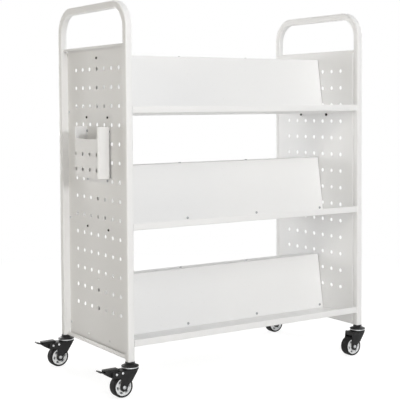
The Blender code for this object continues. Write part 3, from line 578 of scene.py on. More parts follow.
def circle(tree, points, radius):
    sizes = {"Resolution": points, "Radius": radius}
    return tree.node("GeometryNodeCurvePrimitiveCircle", {"mode": "RADIUS"}, sizes)


def thicken(tree, curves, wall, seam):
    """Fills flat curves, gives the filled face a wall and welds its edges."""
    face = tree.node("GeometryNodeFillCurve", {"mode": "TRIANGLES"}, {0: curves})
    raised = tree.node("GeometryNodeExtrudeMesh", {"mode": "FACES"}, {
        "Mesh": face, "Offset Scale": wall, "Individual": False,
    })
    under = tree.node("GeometryNodeFlipFaces", {}, {"Mesh": face})
    both = tree.node("GeometryNodeJoinGeometry", {}, {"Geometry": [raised, under]})
    return tree.node("GeometryNodeMergeByDistance", {}, {"Geometry": both, "Distance": seam})


def hand_over(tree, geometry, finish):
    """Makes instances real, paints them and closes the tree."""
    made = tree.node("GeometryNodeRealizeInstances", {}, {"Geometry": geometry})
    made = tree.node("GeometryNodeSetMaterial", {}, {"Geometry": made, "Material": finish})
    tree.node("NodeGroupOutput", {}, {"Geometry": made})
    print("tree:", tree.nodes.name, "nodes:", len(tree.nodes.nodes))


print("tree tools ready")

# %% [markdown]
# ## Perforated sheet
# The end panels are punched with rows of round holes, and so is the front of the pen holder. Cutting 98
# holes with a Boolean is slow and leaves messy faces, so a tree lays a grid of circles in a rectangle and
# fills what is between the curves. The sizes are inputs, so one tree serves every sheet.

# %% A tree for perforated sheet
HOLE_SIDES, SHEET_SEAM = 24, 0.00001
sheet_tree, given = new_tree(
    "perforated_sheet",
    Float=("Width", "Height", "Column Pitch", "Row Pitch", "Grid Up", "Hole Radius", "Wall"),
    Int=("Columns", "Rows"),
    Material=("Finish",),
)
sizes = {"Width": given["Width"], "Height": given["Height"]}
border = sheet_tree.node("GeometryNodeCurvePrimitiveQuadrilateral", {"mode": "RECTANGLE"}, sizes)
spots = sheet_tree.node("GeometryNodeMeshGrid", {}, {
    "Size X": (given["Columns"] - 1) * given["Column Pitch"], "Vertices X": given["Columns"],
    "Size Y": (given["Rows"] - 1) * given["Row Pitch"], "Vertices Y": given["Rows"],
})
shift = sheet_tree.node("ShaderNodeCombineXYZ", {}, {"Y": given["Grid Up"]})
spots = sheet_tree.node("GeometryNodeTransform", {}, {"Geometry": spots, "Translation": shift})
hole = circle(sheet_tree, HOLE_SIDES, given["Hole Radius"])
holes = sheet_tree.node("GeometryNodeInstanceOnPoints", {}, {"Points": spots, "Instance": hole})
holes = sheet_tree.node("GeometryNodeRealizeInstances", {}, {"Geometry": holes})
edges = sheet_tree.node("GeometryNodeJoinGeometry", {}, {"Geometry": [border, holes]})
hand_over(sheet_tree, thicken(sheet_tree, edges, given["Wall"], SHEET_SEAM), given["Finish"])

# %% [markdown]
# ## End panels
# A panel is one sheet between the posts. Its long edges are folded outwards against the posts, and its top
# and foot are folded outwards and turned back once more, the foot's return leaning in, which leaves the
# light bands along the top and bottom in the photograph. The flat field comes from the tree, and the four
# folded edges are drawn as bent sheet.

# %% Punch and fold the panels
SHEET, SHEET_BEND = 0.001, 0.002
PANEL_INNER, PANEL_HALF, PANEL_FOOT, PANEL_TOP = 0.4267, 0.2027, 0.1, 1.024
PANEL_FLANGE, PANEL_RETURN, PANEL_MARGIN = 0.015, 0.008, 0.012
FOOT_RETURN_IN, FOOT_RETURN_UP = 0.0085, 0.0105
HOLE_RADIUS, HOLE_PITCH, HOLE_ROWS, HOLE_COLUMNS = 0.006, 0.047, 14, 7
HOLE_ROW_PITCH, TOP_ROW = 0.17 / 3, 0.955333


def add_sheet(body, name, values, place, side):
    """Adds a perforated sheet that stands across the trolley, its thickness pointing to that side."""
    shared = {"Column Pitch": HOLE_PITCH, "Hole Radius": HOLE_RADIUS, "Wall": SHEET}
    sheet = grown(sheet_tree, {**shared, **values, "Finish": powder_coat.material}, name)
    standing = Matrix(((0, 0, side, 0), (side, 0, 0, 0), (0, 1, 0, 0), (0, 0, 0, 1)))
    sheet.transform(Matrix.Translation(place) @ standing)
    body.from_mesh(sheet)
    bpy.data.meshes.remove(sheet)


def panel_edge(body, side, wall, line, low, high, way):
    """One folded edge, drawn in distances outwards from the panel's inner face."""
    loop = sheet_edge(soften(line, SHEET_BEND), wall)
    prism(body, loop, low, high, lambda u, v, w: way(side * (PANEL_INNER + u), v, w))


out, low, high = PANEL_FLANGE, PANEL_FOOT + PANEL_MARGIN, PANEL_TOP - PANEL_MARGIN
field_middle = (low + high) / 2
rows_middle = TOP_ROW - (HOLE_ROWS - 1) * HOLE_ROW_PITCH / 2
field = {
    "Width": 2 * (PANEL_HALF - PANEL_MARGIN), "Height": high - low, "Columns": HOLE_COLUMNS,
    "Rows": HOLE_ROWS, "Row Pitch": HOLE_ROW_PITCH, "Grid Up": rows_middle - field_middle,
}
top_line = [(0, high), (0, PANEL_TOP), (out, PANEL_TOP), (out, PANEL_TOP - PANEL_RETURN)]
foot_line = [(0, low), (0, PANEL_FOOT), (out, PANEL_FOOT)]
foot_line += [(out - FOOT_RETURN_IN, PANEL_FOOT + FOOT_RETURN_UP)]
fold = [(0, PANEL_HALF - PANEL_MARGIN), (0, PANEL_HALF), (out, PANEL_HALF)]
mirrored = [(x, -y) for x, y in fold]
for end, side in ENDS:
    body = bmesh.new()
    add_sheet(body, f"panel_field_{end}", field, (side * PANEL_INNER, 0, field_middle), side)
    panel_edge(body, side, -SHEET, top_line, -PANEL_HALF, PANEL_HALF, along_y)
    panel_edge(body, side, SHEET, foot_line, -PANEL_HALF, PANEL_HALF, along_y)
    panel_edge(body, side, -SHEET, fold, low, high, along_z)
    panel_edge(body, side, SHEET, mirrored, low, high, along_z)
    settle(f"perforated_end_{end}", body, powder_coat, "frame", f"end_panel_{end}")

# %% [markdown]
# ## Trays
# Each tier has a tray at the front and one at the rear, folded from one sheet: a hemmed lip that keeps
# books in, a floor that slopes gently to the middle, and a short upstand behind the divider. At each end
# the floor is turned down against the panel in a flange that tapers to the front. The long folds are one
# swept drawing, and the flange is skinned between two sections.

# %% Fold the trays
LIPS = {"top": 0.842, "middle": 0.502, "bottom": 0.162}
LIP, LIP_OUTER, LIP_HEM, HEM_BEND = 0.02, 0.223, 0.007, 0.0012
FLOOR_SLOPE, VALLEY_HALF = math.radians(3.3), 0.0523
UPSTAND, UPSTAND_WALLS = 0.02, 2.3  # its height, and how many walls it stands behind the divider's face
RIDGE_RISE, RIDGE_HALF = 0.156, 0.023
SHELF_HALF, LIP_HALF = 0.4264, 0.4275
FLANGE_AT_LIP, FLANGE_AT_VALLEY, FLANGE_GAP = 0.003, 0.0125, 0.006
NEARLY = 0.999  # keeps a short straight between two bends that would meet


def floor_top(out):
    """Upper side of a tray's floor at a distance from the trolley's middle, from the lip's top edge."""
    return SHEET / math.cos(FLOOR_SLOPE) - LIP - (LIP_OUTER - out) * math.tan(FLOOR_SLOPE)


def end_flange(body, end_side, stations):
    """The turned-down end of a sheet; a station is a Y, the height of the upper side and a drop."""
    rings = []
    for y, top_z, drop in stations:
        line = [(SHELF_HALF - SHEET_BEND, top_z), (SHELF_HALF, top_z), (SHELF_HALF, top_z - drop)]
        loop = sheet_edge(soften(line, SHEET_BEND * NEARLY), -SHEET)
        rings.append([(end_side * p.x, y, p.y) for p in loop])
    skin(body, rings)


face_foot = Vector((-VALLEY_HALF, floor_top(VALLEY_HALF)))
lean = (Vector((-RIDGE_HALF, RIDGE_RISE)) - face_foot).normalized()
upstand_out = VALLEY_HALF - UPSTAND_WALLS * SHEET / lean.y
valley = Vector((-upstand_out, floor_top(upstand_out) - SHEET))
hem_inner, hem = -LIP_OUTER + 2 * HEM_BEND, HEM_BEND * NEARLY
lip_line = [(hem_inner, -LIP_HEM), (hem_inner, 0), (-LIP_OUTER, 0), (-LIP_OUTER, -LIP)]
tray_line = lip_line + [valley, valley + lean * UPSTAND]
lip_loop = sheet_edge(soften(lip_line, hem), SHEET)
tray_loop = sheet_edge(soften(tray_line, [hem, hem, SHEET_BEND, SHEET_BEND]), SHEET)
sheet_half, near, far = SHELF_HALF - SHEET_BEND, LIP_OUTER - FLANGE_GAP, VALLEY_HALF + FLANGE_GAP
stations = [(-near, floor_top(near), FLANGE_AT_LIP + SHEET), (-far, floor_top(far), FLANGE_AT_VALLEY + SHEET)]
for tier, lip_z in LIPS.items():
    for place, front in PLACES:
        body = bmesh.new()
        prism(body, tray_loop, -sheet_half, sheet_half, along_x)
        for end_side in (-1, 1):
            prism(body, lip_loop, *sorted((end_side * sheet_half, end_side * LIP_HALF)), along_x)
            end_flange(body, end_side, stations)
        bmesh.ops.transform(body, matrix=Matrix.Diagonal((1, -front, 1, 1)), verts=body.verts)
        name = f"{tier}_{place}"
        settle(f"tray_sheet_{name}", body, powder_coat, "frame", f"tray_{name}", at=(0, 0, lip_z))

# %% [markdown]
# ## Dividers
# Between the two trays of a tier stands a divider, folded like a tent: two leaning faces that books rest
# against and a flat ridge. A tab at each end of the ridge is turned down for its bolt. The faces stop just
# short of the panels, which is the thin dark gap at the right end of each ridge in the photograph.

# %% Fold the dividers
DIVIDER_FOOT_GAP, RIDGE_TAB, RIDGE_TAB_HALF = 0.003, 0.018, 0.015
foot = face_foot + lean * (DIVIDER_FOOT_GAP / lean.y)
tent_line = [foot, (-RIDGE_HALF, RIDGE_RISE), (RIDGE_HALF, RIDGE_RISE), (-foot.x, foot.y)]
tent_loop = sheet_edge(soften(tent_line, SHEET_BEND), -SHEET)
stations = [(y, RIDGE_RISE, RIDGE_TAB) for y in (-RIDGE_TAB_HALF, RIDGE_TAB_HALF)]
for tier, lip_z in LIPS.items():
    body = bmesh.new()
    prism(body, tent_loop, -sheet_half, sheet_half, along_x)
    for end_side in (-1, 1):
        end_flange(body, end_side, stations)
    settle(f"divider_sheet_{tier}", body, powder_coat, "frame", f"divider_{tier}", at=(0, 0, lip_z))

# %% [markdown]
# ## Pen and file holder
# A shallow open box hangs on the outside of the left panel. Its front is lower than its sides, with round
# corners in the cut-out, and has two rows of holes. Its back reaches below the box as a tab for two screws.
# The sides are skinned along the plan, station by station, so that the upper edge can rise round the cut-
# out. The one in front stops just short of the back, which leaves the dark line in the photograph. The
# punched part of the front comes from the same tree as the panels.

# %% Fold the pen holder
HOLDER_HALF, HOLDER_DEPTH, HOLDER_TALL, HOLDER_FRONT = 0.079, 0.0432, 0.155, 0.118
HOLDER_POST, HOLDER_TAB, HOLDER_BACK_GAP = 0.007, 0.017, 0.005
HOLDER_CORNER, HOLDER_BACK_CORNER, WINDOW_CORNER, WINDOW_STEPS = 0.007, 0.006, 0.012, 10
HOLDER_COLUMNS, HOLDER_ROWS, HOLDER_TOP_ROW, HOLDER_ROW_PITCH = 4, 2, 0.046, 0.047
HOLDER_SURFACE, HOLDER_OFFSET, HOLDER_FOOT = 0.428, -0.0095, 0.625
APART = 0.0001  # the least distance between two points of the plan
window_half = HOLDER_HALF - HOLDER_POST
straight = window_half - WINDOW_CORNER


def holder_wall(body, side):
    """Side wall, rounded corner and window corner at one side; drawn outwards from the panel and along Y."""
    gap = HOLDER_BACK_GAP if side < 0 else 0.0
    plan = [(gap, HOLDER_HALF), (HOLDER_DEPTH, HOLDER_HALF), (HOLDER_DEPTH, straight)]
    *line, last = soften(plan, HOLDER_CORNER, 8)
    for step in range(WINDOW_STEPS):
        y = window_half - WINDOW_CORNER * step / WINDOW_STEPS
        if y < HOLDER_HALF - HOLDER_CORNER - APART:
            line.append(Vector((HOLDER_DEPTH, y)))
    line.append(last)
    rings = []
    for outer, inner in zip(line, aside(line, -SHEET)):
        into = min(max(window_half - outer.y, 0.0), WINDOW_CORNER)
        drop = math.sqrt(WINDOW_CORNER**2 - (WINDOW_CORNER - into) ** 2)
        upper = HOLDER_TALL if into <= 0 else HOLDER_FRONT + WINDOW_CORNER - drop
        corners = ((outer, 0), (outer, upper), (inner, upper), (inner, 0))
        rings.append([(-p.x, side * p.y, z) for p, z in corners])
    skin(body, rings)


body = bmesh.new()
for side in (-1, 1):
    holder_wall(body, side)
floor_half = HOLDER_HALF - SHEET
prism(body, rectangle(SHEET - HOLDER_DEPTH, -floor_half, -SHEET, floor_half), 0, SHEET, along_z)
back = rectangle(-HOLDER_HALF, -HOLDER_TAB, HOLDER_HALF, HOLDER_TALL)
prism(body, soften(back, HOLDER_BACK_CORNER, 5, True), -SHEET, 0, along_x)
field = {
    "Width": 2 * straight, "Height": HOLDER_FRONT, "Columns": HOLDER_COLUMNS, "Rows": HOLDER_ROWS,
    "Row Pitch": HOLDER_ROW_PITCH, "Grid Up": HOLDER_FRONT / 2 - HOLDER_TOP_ROW - HOLDER_ROW_PITCH / 2,
}
add_sheet(body, "holder_front", field, (SHEET - HOLDER_DEPTH, 0, HOLDER_FRONT / 2), -1)
holder_place = (-HOLDER_SURFACE, HOLDER_OFFSET, HOLDER_FOOT)
settle("pen_holder_box", body, powder_coat, "frame", "pen_holder", at=holder_place)

# %% [markdown]
# ## Screws and bolts
# The trolley is screwed together: tier bolts through the panels, and smaller screws in the lips' ends,
# along the dividers and in the pen holder. They repeat, so a tree sets one head on every point, faces it
# along the point's own direction and turns it by a seeded random angle, as a fitter leaves them.

# %% A tree for fasteners
fastener_tree, given = new_tree(
    "fasteners", Geometry=("Geometry",), Object=("Head",), Material=("Finish",), Int=("Seed",)
)
stored = {"data_type": "FLOAT_VECTOR"}
facing = fastener_tree.node("GeometryNodeInputNamedAttribute", stored, {"Name": "facing"})
aim = fastener_tree.node("FunctionNodeAlignRotationToVector", {"axis": "Z"}, {"Vector": facing})
limits = {2: 0.0, 3: 2 * math.pi, "Seed": given["Seed"]}
chance = fastener_tree.node("FunctionNodeRandomValue", {"data_type": "FLOAT"}, limits, 1)
spin = fastener_tree.node("FunctionNodeAxisAngleToRotation", {}, {"Axis": (0, 0, 1), "Angle": chance})
turns = {"Rotation": aim, "Rotate By": spin}
aim = fastener_tree.node("FunctionNodeRotateRotation", {"rotation_space": "LOCAL"}, turns)
head = fastener_tree.node("GeometryNodeObjectInfo", {}, {"Object": given["Head"]}, "Geometry")
heads = fastener_tree.node("GeometryNodeInstanceOnPoints", {}, {
    "Points": given["Geometry"], "Instance": head, "Rotation": aim,
})
hand_over(fastener_tree, heads, given["Finish"])


def driven(name, spots, head, finish, seed):
    """Sets a head on each (point, direction) and returns one mesh."""
    points = bpy.data.meshes.new(name)
    points.from_pydata([Vector(spot) for spot, _ in spots], [], [])
    facing_store = points.attributes.new("facing", "FLOAT_VECTOR", "POINT")
    for index, (_, way) in enumerate(spots):
        facing_store.data[index].vector = way
    return grown(fastener_tree, {"Head": head, "Finish": finish.material, "Seed": seed}, name, points)


# %% [markdown]
# ### Heads
# A head is a stack of rings: round at the rim, and six-sided or cross-shaped where the driver goes in.
# Giving a ring its own radius for each angle makes both without cutting. The long bolts also get a thread
# end and a nut inside the panel.


# %% Stack rings to screw heads
HEAD_SIDES, HEAD_CREASE = 24, 40.0
DOME = ((0.97, 0.0), (1.0, 0.08), (1.0, 0.34), (0.95, 0.62), (0.82, 0.86), (0.62, 1.0))
DRIVE_TAPER, DRIVE_FLOOR = 0.86, 0.4
CROSS_ARM, CROSS_WAIST = 0.2, 0.42
BOLT_HEAD_RADIUS, BOLT_HEAD, BOLT_DRIVE = 0.0038, 0.003, 0.003
BOLT_SHANK, BOLT_REACH, BOLT_SINK, BOLT_POINT, BOLT_TIP = 0.0025, 0.0072, 0.0004, 0.0006, 0.8
BOLT_NUT_FLATS, BOLT_NUT_FACE = 0.0088, 0.0042
BOLT_NUT_TOP, BOLT_NUT_TALL, BOLT_NUT_CHAMFER = -0.0023, 0.0035, 0.0005
SCREW_HEAD_RADIUS, SCREW_HEAD, SCREW_DRIVE = 0.0042, 0.0023, 0.0024


def six_sided(flats):
    return lambda angle: flats / 2 / math.cos(math.remainder(angle, math.pi / 3))


def cross_shaped(reach):
    def radius(angle):
        off = abs(math.remainder(angle, math.pi / 2))
        return reach if off < CROSS_ARM else reach * CROSS_WAIST
    return radius


def stack(body, rows):
    """Rings of (radius or radius by angle, height), closed at both ends."""
    rings = []
    for radius, height in rows:
        ring = []
        for side in range(HEAD_SIDES):
            angle = 2 * math.pi * side / HEAD_SIDES
            r = radius(angle) if callable(radius) else radius
            ring.append((r * math.cos(angle), r * math.sin(angle), height))
        rings.append(ring)
    skin(body, rings)


def head_rows(radius, height, drive):
    dome = [(radius * wide, height * tall) for wide, tall in DOME]
    return dome + [(drive, height), (lambda angle: DRIVE_TAPER * drive(angle), DRIVE_FLOOR * height)]


def template(name, *stacks):
    """A model of one fastener for the tree to repeat, deleted after its last use."""
    body = bmesh.new()
    for rows in stacks:
        stack(body, rows)
    made = bpy.data.objects.new(name, closed_mesh(body, HEAD_CREASE))
    bpy.context.scene.collection.objects.link(made)
    print(f"{name}: {len(made.data.polygons)} faces")
    return made


bolt_head = head_rows(BOLT_HEAD_RADIUS, BOLT_HEAD, six_sided(BOLT_DRIVE))
bolt_shank = [(BOLT_SHANK, BOLT_SINK), (BOLT_SHANK, BOLT_POINT - BOLT_REACH)]
bolt_shank += [(BOLT_SHANK * BOLT_TIP, -BOLT_REACH)]
flats, nut_foot = six_sided(BOLT_NUT_FLATS), BOLT_NUT_TOP - BOLT_NUT_TALL
bolt_nut = [(BOLT_NUT_FACE, BOLT_NUT_TOP), (flats, BOLT_NUT_TOP - BOLT_NUT_CHAMFER)]
bolt_nut += [(flats, nut_foot + BOLT_NUT_CHAMFER), (BOLT_NUT_FACE, nut_foot)]
bolt_template = template("bolt_template", bolt_head, bolt_shank, bolt_nut)
screw_head = head_rows(SCREW_HEAD_RADIUS, SCREW_HEAD, cross_shaped(SCREW_DRIVE))
screw_template = template("screw_template", screw_head)

# %% [markdown]
# ### Tier bolts
# At each end of a tier one bolt sits in each valley and one under the ridge. Those of the bottom tier are
# painted over with the frame, so they take its finish, and the others stay black.

# %% Drive the tier bolts
VALLEY_BOLT_OUT, VALLEY_BOLT_DROP, RIDGE_BOLT_DROP = 0.069, 0.0063, 0.009
PANEL_FACE, BOLT_SEED = 0.4278, 3
BOLT_SETS = (("tier_bolts", screw_black, ("top", "middle")), ("painted_bolts", powder_coat, ("bottom",)))
valley_z = floor_top(VALLEY_BOLT_OUT) - VALLEY_BOLT_DROP
bolt_places = (
    ("front", -VALLEY_BOLT_OUT, valley_z),
    ("rear", VALLEY_BOLT_OUT, valley_z),
    ("ridge", 0.0, RIDGE_RISE - RIDGE_BOLT_DROP),
)
for label, finish, tiers in BOLT_SETS:
    bolt_spots, bolt_nodes = [], []
    for end, side in ENDS:
        for tier in tiers:
            for place, y, z in bolt_places:
                bolt_spots.append(((side * PANEL_FACE, y, LIPS[tier] + z), (side, 0, 0)))
                bolt_nodes.append(f"bolt_{end}_{tier}_{place}")
    mesh = driven(label, bolt_spots, bolt_template, finish, BOLT_SEED)
    settle(label, mesh, finish, "frame", *bolt_nodes)

# %% [markdown]
# ### Small screws
# Zinc-plated screws sit at the ends of the lips, and dull ones along the feet and ridges of the dividers
# and in the pen holder. Their places were read from the photograph, and each sits on the face that carries
# it.

# %% Drive the small screws
LIP_SCREW_FACE, LIP_SCREW_OUT, LIP_SCREW_DROP = 0.42765, 0.192, 0.018
FOOT_SCREW_UP, FOOT_SCREWS, RIDGE_SCREW = 0.0085, (-0.41, -0.134, 0.138, 0.41), 0.131
HOLDER_SCREWS = ((0.0628, 0.766), (-0.0818, 0.766), (0.062, 0.617), (-0.068, 0.617))
lip_spots, divider_spots = [], []
for end, side in ENDS:
    for lip_z in LIPS.values():
        for front in (-1, 1):
            spot = (side * LIP_SCREW_FACE, front * LIP_SCREW_OUT, lip_z - LIP_SCREW_DROP)
            lip_spots.append((spot, (side, 0, 0)))
face_out = Vector((-lean.y, lean.x))
on_face = foot + lean * FOOT_SCREW_UP
for lip_z in LIPS.values():
    for front in (-1, 1):
        for x in FOOT_SCREWS:
            spot = (x, -front * on_face.x, lip_z + on_face.y)
            divider_spots.append((spot, (0, -front * face_out.x, face_out.y)))
    for x in (-RIDGE_SCREW, RIDGE_SCREW):
        divider_spots.append(((x, 0, lip_z + RIDGE_RISE), (0, 0, 1)))
holder_spots = [((-HOLDER_SURFACE - SHEET, y, z), (-1, 0, 0)) for y, z in HOLDER_SCREWS]
screw_sets = (
    ("lip_screws", lip_spots, zinc, 5),
    ("divider_screws", divider_spots, dull_steel, 8),
    ("holder_screws", holder_spots, dull_steel, 9),
)
for label, spots, finish, seed in screw_sets:
    settle(label, driven(label, spots, screw_template, finish, seed), finish, "frame")
for used in (bolt_template, screw_template):
    bpy.data.objects.remove(used)

# %% [markdown]
# ## Caster stems and races
# A plug grips inside each post and carries a lock nut and the upper race, a shallow black cone. Under it
# runs the bright lower race, which turns with the yoke. All of these are turned parts, so their profiles
# are rounded and spun; only the nut is a stack of six-sided rings.

# %% Spin the stems and races
CORNERS = [(f"{place}_{end}", end, (x * POST_X, y * POST_Y, 0)) for end, x in ENDS for place, y in PLACES]
STEM_FOOT, CONE_EDGE, CONE_TOP = 0.0864, 0.0885, 0.0924
CONE_RADIUS, CONE_TOP_RADIUS = 0.026, 0.016
KINGPIN, PIN_HEAD_RADIUS, PIN_HEAD_TOP, PIN_HEAD_FOOT = 0.006, 0.0095, 0.0769, 0.0739
STEM_EDGES, STEM_SIDES = [0.0015, 0.001, 0.0005, 0, 0, 0.0004, 0.001], 48
NUT_TOP, NUT_FLATS, NUT_CLIP, NUT_CHAMFER = 0.0996, 0.026, 1.11, 0.0009
PLUG_HALF, PLUG_CORNER, PLUG_TALL, OVERLAP = 0.0092, 0.002, 0.035, 0.001
RACE_FOOT, RACE_TOP, RACE_RADIUS, RACE_BORE, RACE_CHAMFER = 0.0825, 0.0861, 0.0245, 0.009, 0.001
RACE_EDGES, RACE_SIDES = [0.0009, 0.0004, 0.0004, 0.0004, 0.0006], 64


def stem_shape():
    body = bmesh.new()
    cone = [(0.0, CONE_TOP), (CONE_TOP_RADIUS, CONE_TOP), (CONE_RADIUS, CONE_EDGE), (CONE_RADIUS, STEM_FOOT)]
    cone += [(KINGPIN, STEM_FOOT), (KINGPIN, PIN_HEAD_TOP), (PIN_HEAD_RADIUS, PIN_HEAD_TOP)]
    cone += [(PIN_HEAD_RADIUS, PIN_HEAD_FOOT), (0.0, PIN_HEAD_FOOT)]
    turned(body, soften(cone, STEM_EDGES, 3), STEM_SIDES)
    flats, face = six_sided(NUT_FLATS), NUT_FLATS / 2

    def clipped(angle):
        return min(flats(angle), face * NUT_CLIP)

    nut = [(face, CONE_TOP - OVERLAP), (face, CONE_TOP), (clipped, CONE_TOP + NUT_CHAMFER)]
    stack(body, nut + [(clipped, NUT_TOP - NUT_CHAMFER), (face, NUT_TOP)])
    prism(body, square_section(PLUG_HALF, PLUG_CORNER), NUT_TOP - OVERLAP, POST_FOOT + PLUG_TALL, along_z)
    return body


def race_shape():
    body = bmesh.new()
    ring = [(RACE_RADIUS, RACE_TOP), (RACE_BORE, RACE_TOP), (RACE_BORE, RACE_FOOT)]
    ring += [(RACE_RADIUS - RACE_CHAMFER, RACE_FOOT), (RACE_RADIUS, RACE_FOOT + RACE_CHAMFER)]
    turned(body, soften(ring, RACE_EDGES, 3, True), RACE_SIDES)
    return body


for name, end, spot in CORNERS:
    settle(f"caster_stem_{name}", stem_shape(), caster_black, "frame", f"caster_{name}_stem", at=spot)
    settle(f"caster_race_{name}", race_shape(), zinc, f"swivel_{name}", f"caster_{name}_race", at=spot)

# %% [markdown]
# ## Yokes
# A yoke is pressed from steel plate: a round deck under the race, and two sides that reach down to eyes
# round the axle. At the left end the sides also reach back as arms that carry a brake pedal; at the right
# end a bridge joins them. The sides are rounded plates, which catches a line of light along every edge.

# %% Press the yokes
TRAIL, WHEEL_RADIUS = 0.03, 0.0318
YOKE_INNER, YOKE_OUTER, YOKE_TOP, PRESSED_EDGE = 0.0165, 0.0195, 0.0822, 0.0007
DECK_WALL, DECK_RADIUS, DECK_PLAY, DECK_EDGES = 0.005, 0.0255, 0.0004, [0, 0, 0.0016, 0.0014]
EYE_RADIUS, EYE_START, EYE_END, EYE_STEPS = 0.0125, 20, -190, 22
ARM_REACH, SHORT_REACH, ARM_TOP, ARM_FOOT = 0.067, 0.037, 0.079, 0.063
NOSE, WAIST, ARM_ROOT = (0.018, ARM_TOP), (-0.0035, 0.0465), (-0.038, 0.058)
SIDE_EDGES, ARM_EDGES, SHORT_EDGES = [0.004, 0.006], [0.005, 0.004, 0.004], [0.002]
FRONT_WALL = ((0.0175, 0.0785), (0.0145, 0.0785), (0.0008, 0.0575), (0.0038, 0.0575))
WEB_DROP, WEB_WALL, WEB_FRONT, WEB_REAR, WEB_INSET = 0.002, 0.0035, -0.012, -0.038, 0.002
BRIDGE_WALL, BRIDGE_FOOT, BRIDGE_TOP, BRIDGE_INSET = 0.004, 0.0666, 0.081, 0.0005
WALL_CORNER, WEB_CORNER, BRIDGE_CORNER, CROSS_INSET = 0.0006, 0.0008, 0.001, 0.001
eye = arc((-TRAIL, WHEEL_RADIUS), EYE_RADIUS, EYE_START, EYE_END, EYE_STEPS)
side_line, side_edges = [NOSE, WAIST, *eye], SIDE_EDGES + [0] * len(eye)
arm_line = [ARM_ROOT, (-ARM_REACH, ARM_FOOT), (-ARM_REACH, ARM_TOP)]
armed_side = soften(side_line + arm_line, side_edges + ARM_EDGES, 4, True)[::-1]
plain_side = soften(side_line + [(-SHORT_REACH, ARM_TOP)], side_edges + SHORT_EDGES, 4, True)[::-1]


def cross_plate(body, outline, corner, steps):
    """A plate from one side of the yoke to the other."""
    half = YOKE_OUTER - CROSS_INSET
    plate(body, soften(outline, corner, steps, True), -half, half, PRESSED_EDGE, along_y)


def yoke_shape(braked):
    body = bmesh.new()
    bore, deck_foot = KINGPIN + DECK_PLAY, YOKE_TOP - DECK_WALL
    deck = [(bore, YOKE_TOP), (bore, deck_foot), (DECK_RADIUS, deck_foot), (DECK_RADIUS, YOKE_TOP)]
    turned(body, soften(deck, DECK_EDGES, 4, True), RACE_SIDES)
    yoke_side = armed_side if braked else plain_side
    plate(body, yoke_side, YOKE_INNER, YOKE_OUTER, PRESSED_EDGE, along_y)
    plate(body, yoke_side, -YOKE_OUTER, -YOKE_INNER, PRESSED_EDGE, along_y)
    cross_plate(body, FRONT_WALL, WALL_CORNER, 2)
    web_foot = deck_foot - WEB_DROP
    rear = WEB_REAR if braked else WEB_INSET - SHORT_REACH
    cross_plate(body, rectangle(rear, web_foot, WEB_FRONT, web_foot + WEB_WALL), WEB_CORNER, 2)
    if not braked:
        rear = BRIDGE_INSET - SHORT_REACH
        bridge = rectangle(rear, BRIDGE_FOOT, rear + BRIDGE_WALL, BRIDGE_TOP)
        cross_plate(body, bridge, BRIDGE_CORNER, 3)
    return body


for name, end, spot in CORNERS:
    shape = yoke_shape(end == "left")
    settle(f"caster_yoke_{name}", shape, caster_black, f"swivel_{name}", f"caster_{name}_yoke", at=spot)

# %% [markdown]
# ### Axle caps and rivets
# Dull steel caps close the axles, and two rivets show on each side of a yoke: bright ones where it carries
# a brake, painted over on the other casters. The rivets repeat, so they come from the fastener tree with a
# domed head.

# %% Set the axle caps and rivets
AXLE_RADIUS, CAP_GAP, CAP_SIDES, CAP_CREASE = 0.004, 0.0003, 32, 50.0
CAP = ((0.0, 0.004), (0.0034, 0.0038), (0.0048, 0.0029), (0.0055, 0.0014), (0.0056, 0.0))
RIVET = ((0.0034, -0.0006), (0.0035, 0.0003), (0.0031, 0.0008), (0.0018, 0.0011))
RIVETS = {"left": ((-0.0536, 0.072), (-0.034, 0.0735)), "right": ((-0.03, 0.0735), (-0.011, 0.0735))}
RIVET_SEED = 11


def axle_shape():
    """Axle with a domed cap at each end."""
    body = bmesh.new()
    out = YOKE_OUTER + CAP_GAP
    half = [(radius, out + rise) for radius, rise in CAP] + [(AXLE_RADIUS, out)]
    profile = half + [(r, -z) for r, z in reversed(half)]
    turned(body, profile, CAP_SIDES, (-TRAIL, 0, WHEEL_RADIUS), along_y)
    return closed_mesh(body, CAP_CREASE)


rivet_template = template("rivet_template", RIVET)
for name, end, spot in CORNERS:
    swivel = f"swivel_{name}"
    settle(f"caster_axle_{name}", axle_shape(), dull_steel, swivel, f"caster_{name}_axle", at=spot)
    rivets = []
    for reach, height in RIVETS[end]:
        for outward in (-1, 1):
            rivets.append(((spot[0] + reach, spot[1] + outward * YOKE_OUTER, height), (0, outward, 0)))
    finish = zinc if end == "left" else caster_black
    mesh = driven(f"yoke_rivets_{name}", rivets, rivet_template, finish, RIVET_SEED)
    settle(f"yoke_rivets_{name}", mesh, finish, swivel)
bpy.data.objects.remove(rivet_template)

# %% [markdown]
# ## Wheels
# The rim is moulded: an outer band, an inner ring round the hub and, between them, a web with oval
# recesses. The web is the panel's idea again, a filled curve with holes, but the ovals stand in a circle,
# so it has a tree of its own.

# %% A tree for the wheel's web
RIM_SIDES, HUB_SIDES, OVAL_SIDES, WEB_SEAM = 72, 48, 20, 0.000005
web_tree, given = new_tree(
    "recessed_web",
    Float=("Inner", "Outer", "Oval Circle", "Oval Radius", "Oval Length", "Wall"),
    Int=("Ovals",),
    Material=("Finish",),
)
outline = circle(web_tree, RIM_SIDES, given["Outer"])
bore = circle(web_tree, HUB_SIDES, given["Inner"])
oval = circle(web_tree, OVAL_SIDES, given["Oval Radius"])
longer = web_tree.node("ShaderNodeCombineXYZ", {}, {"X": 1.0, "Y": given["Oval Length"], "Z": 1.0})
oval = web_tree.node("GeometryNodeTransform", {}, {"Geometry": oval, "Scale": longer})
ring = circle(web_tree, given["Ovals"], given["Oval Circle"])
points = web_tree.node("GeometryNodeCurveToPoints", {"mode": "EVALUATED"}, {"Curve": ring})
outwards = {"Vector": web_tree.node("GeometryNodeInputPosition")}
aim = web_tree.node("FunctionNodeAlignRotationToVector", {"axis": "X", "pivot_axis": "Z"}, outwards)
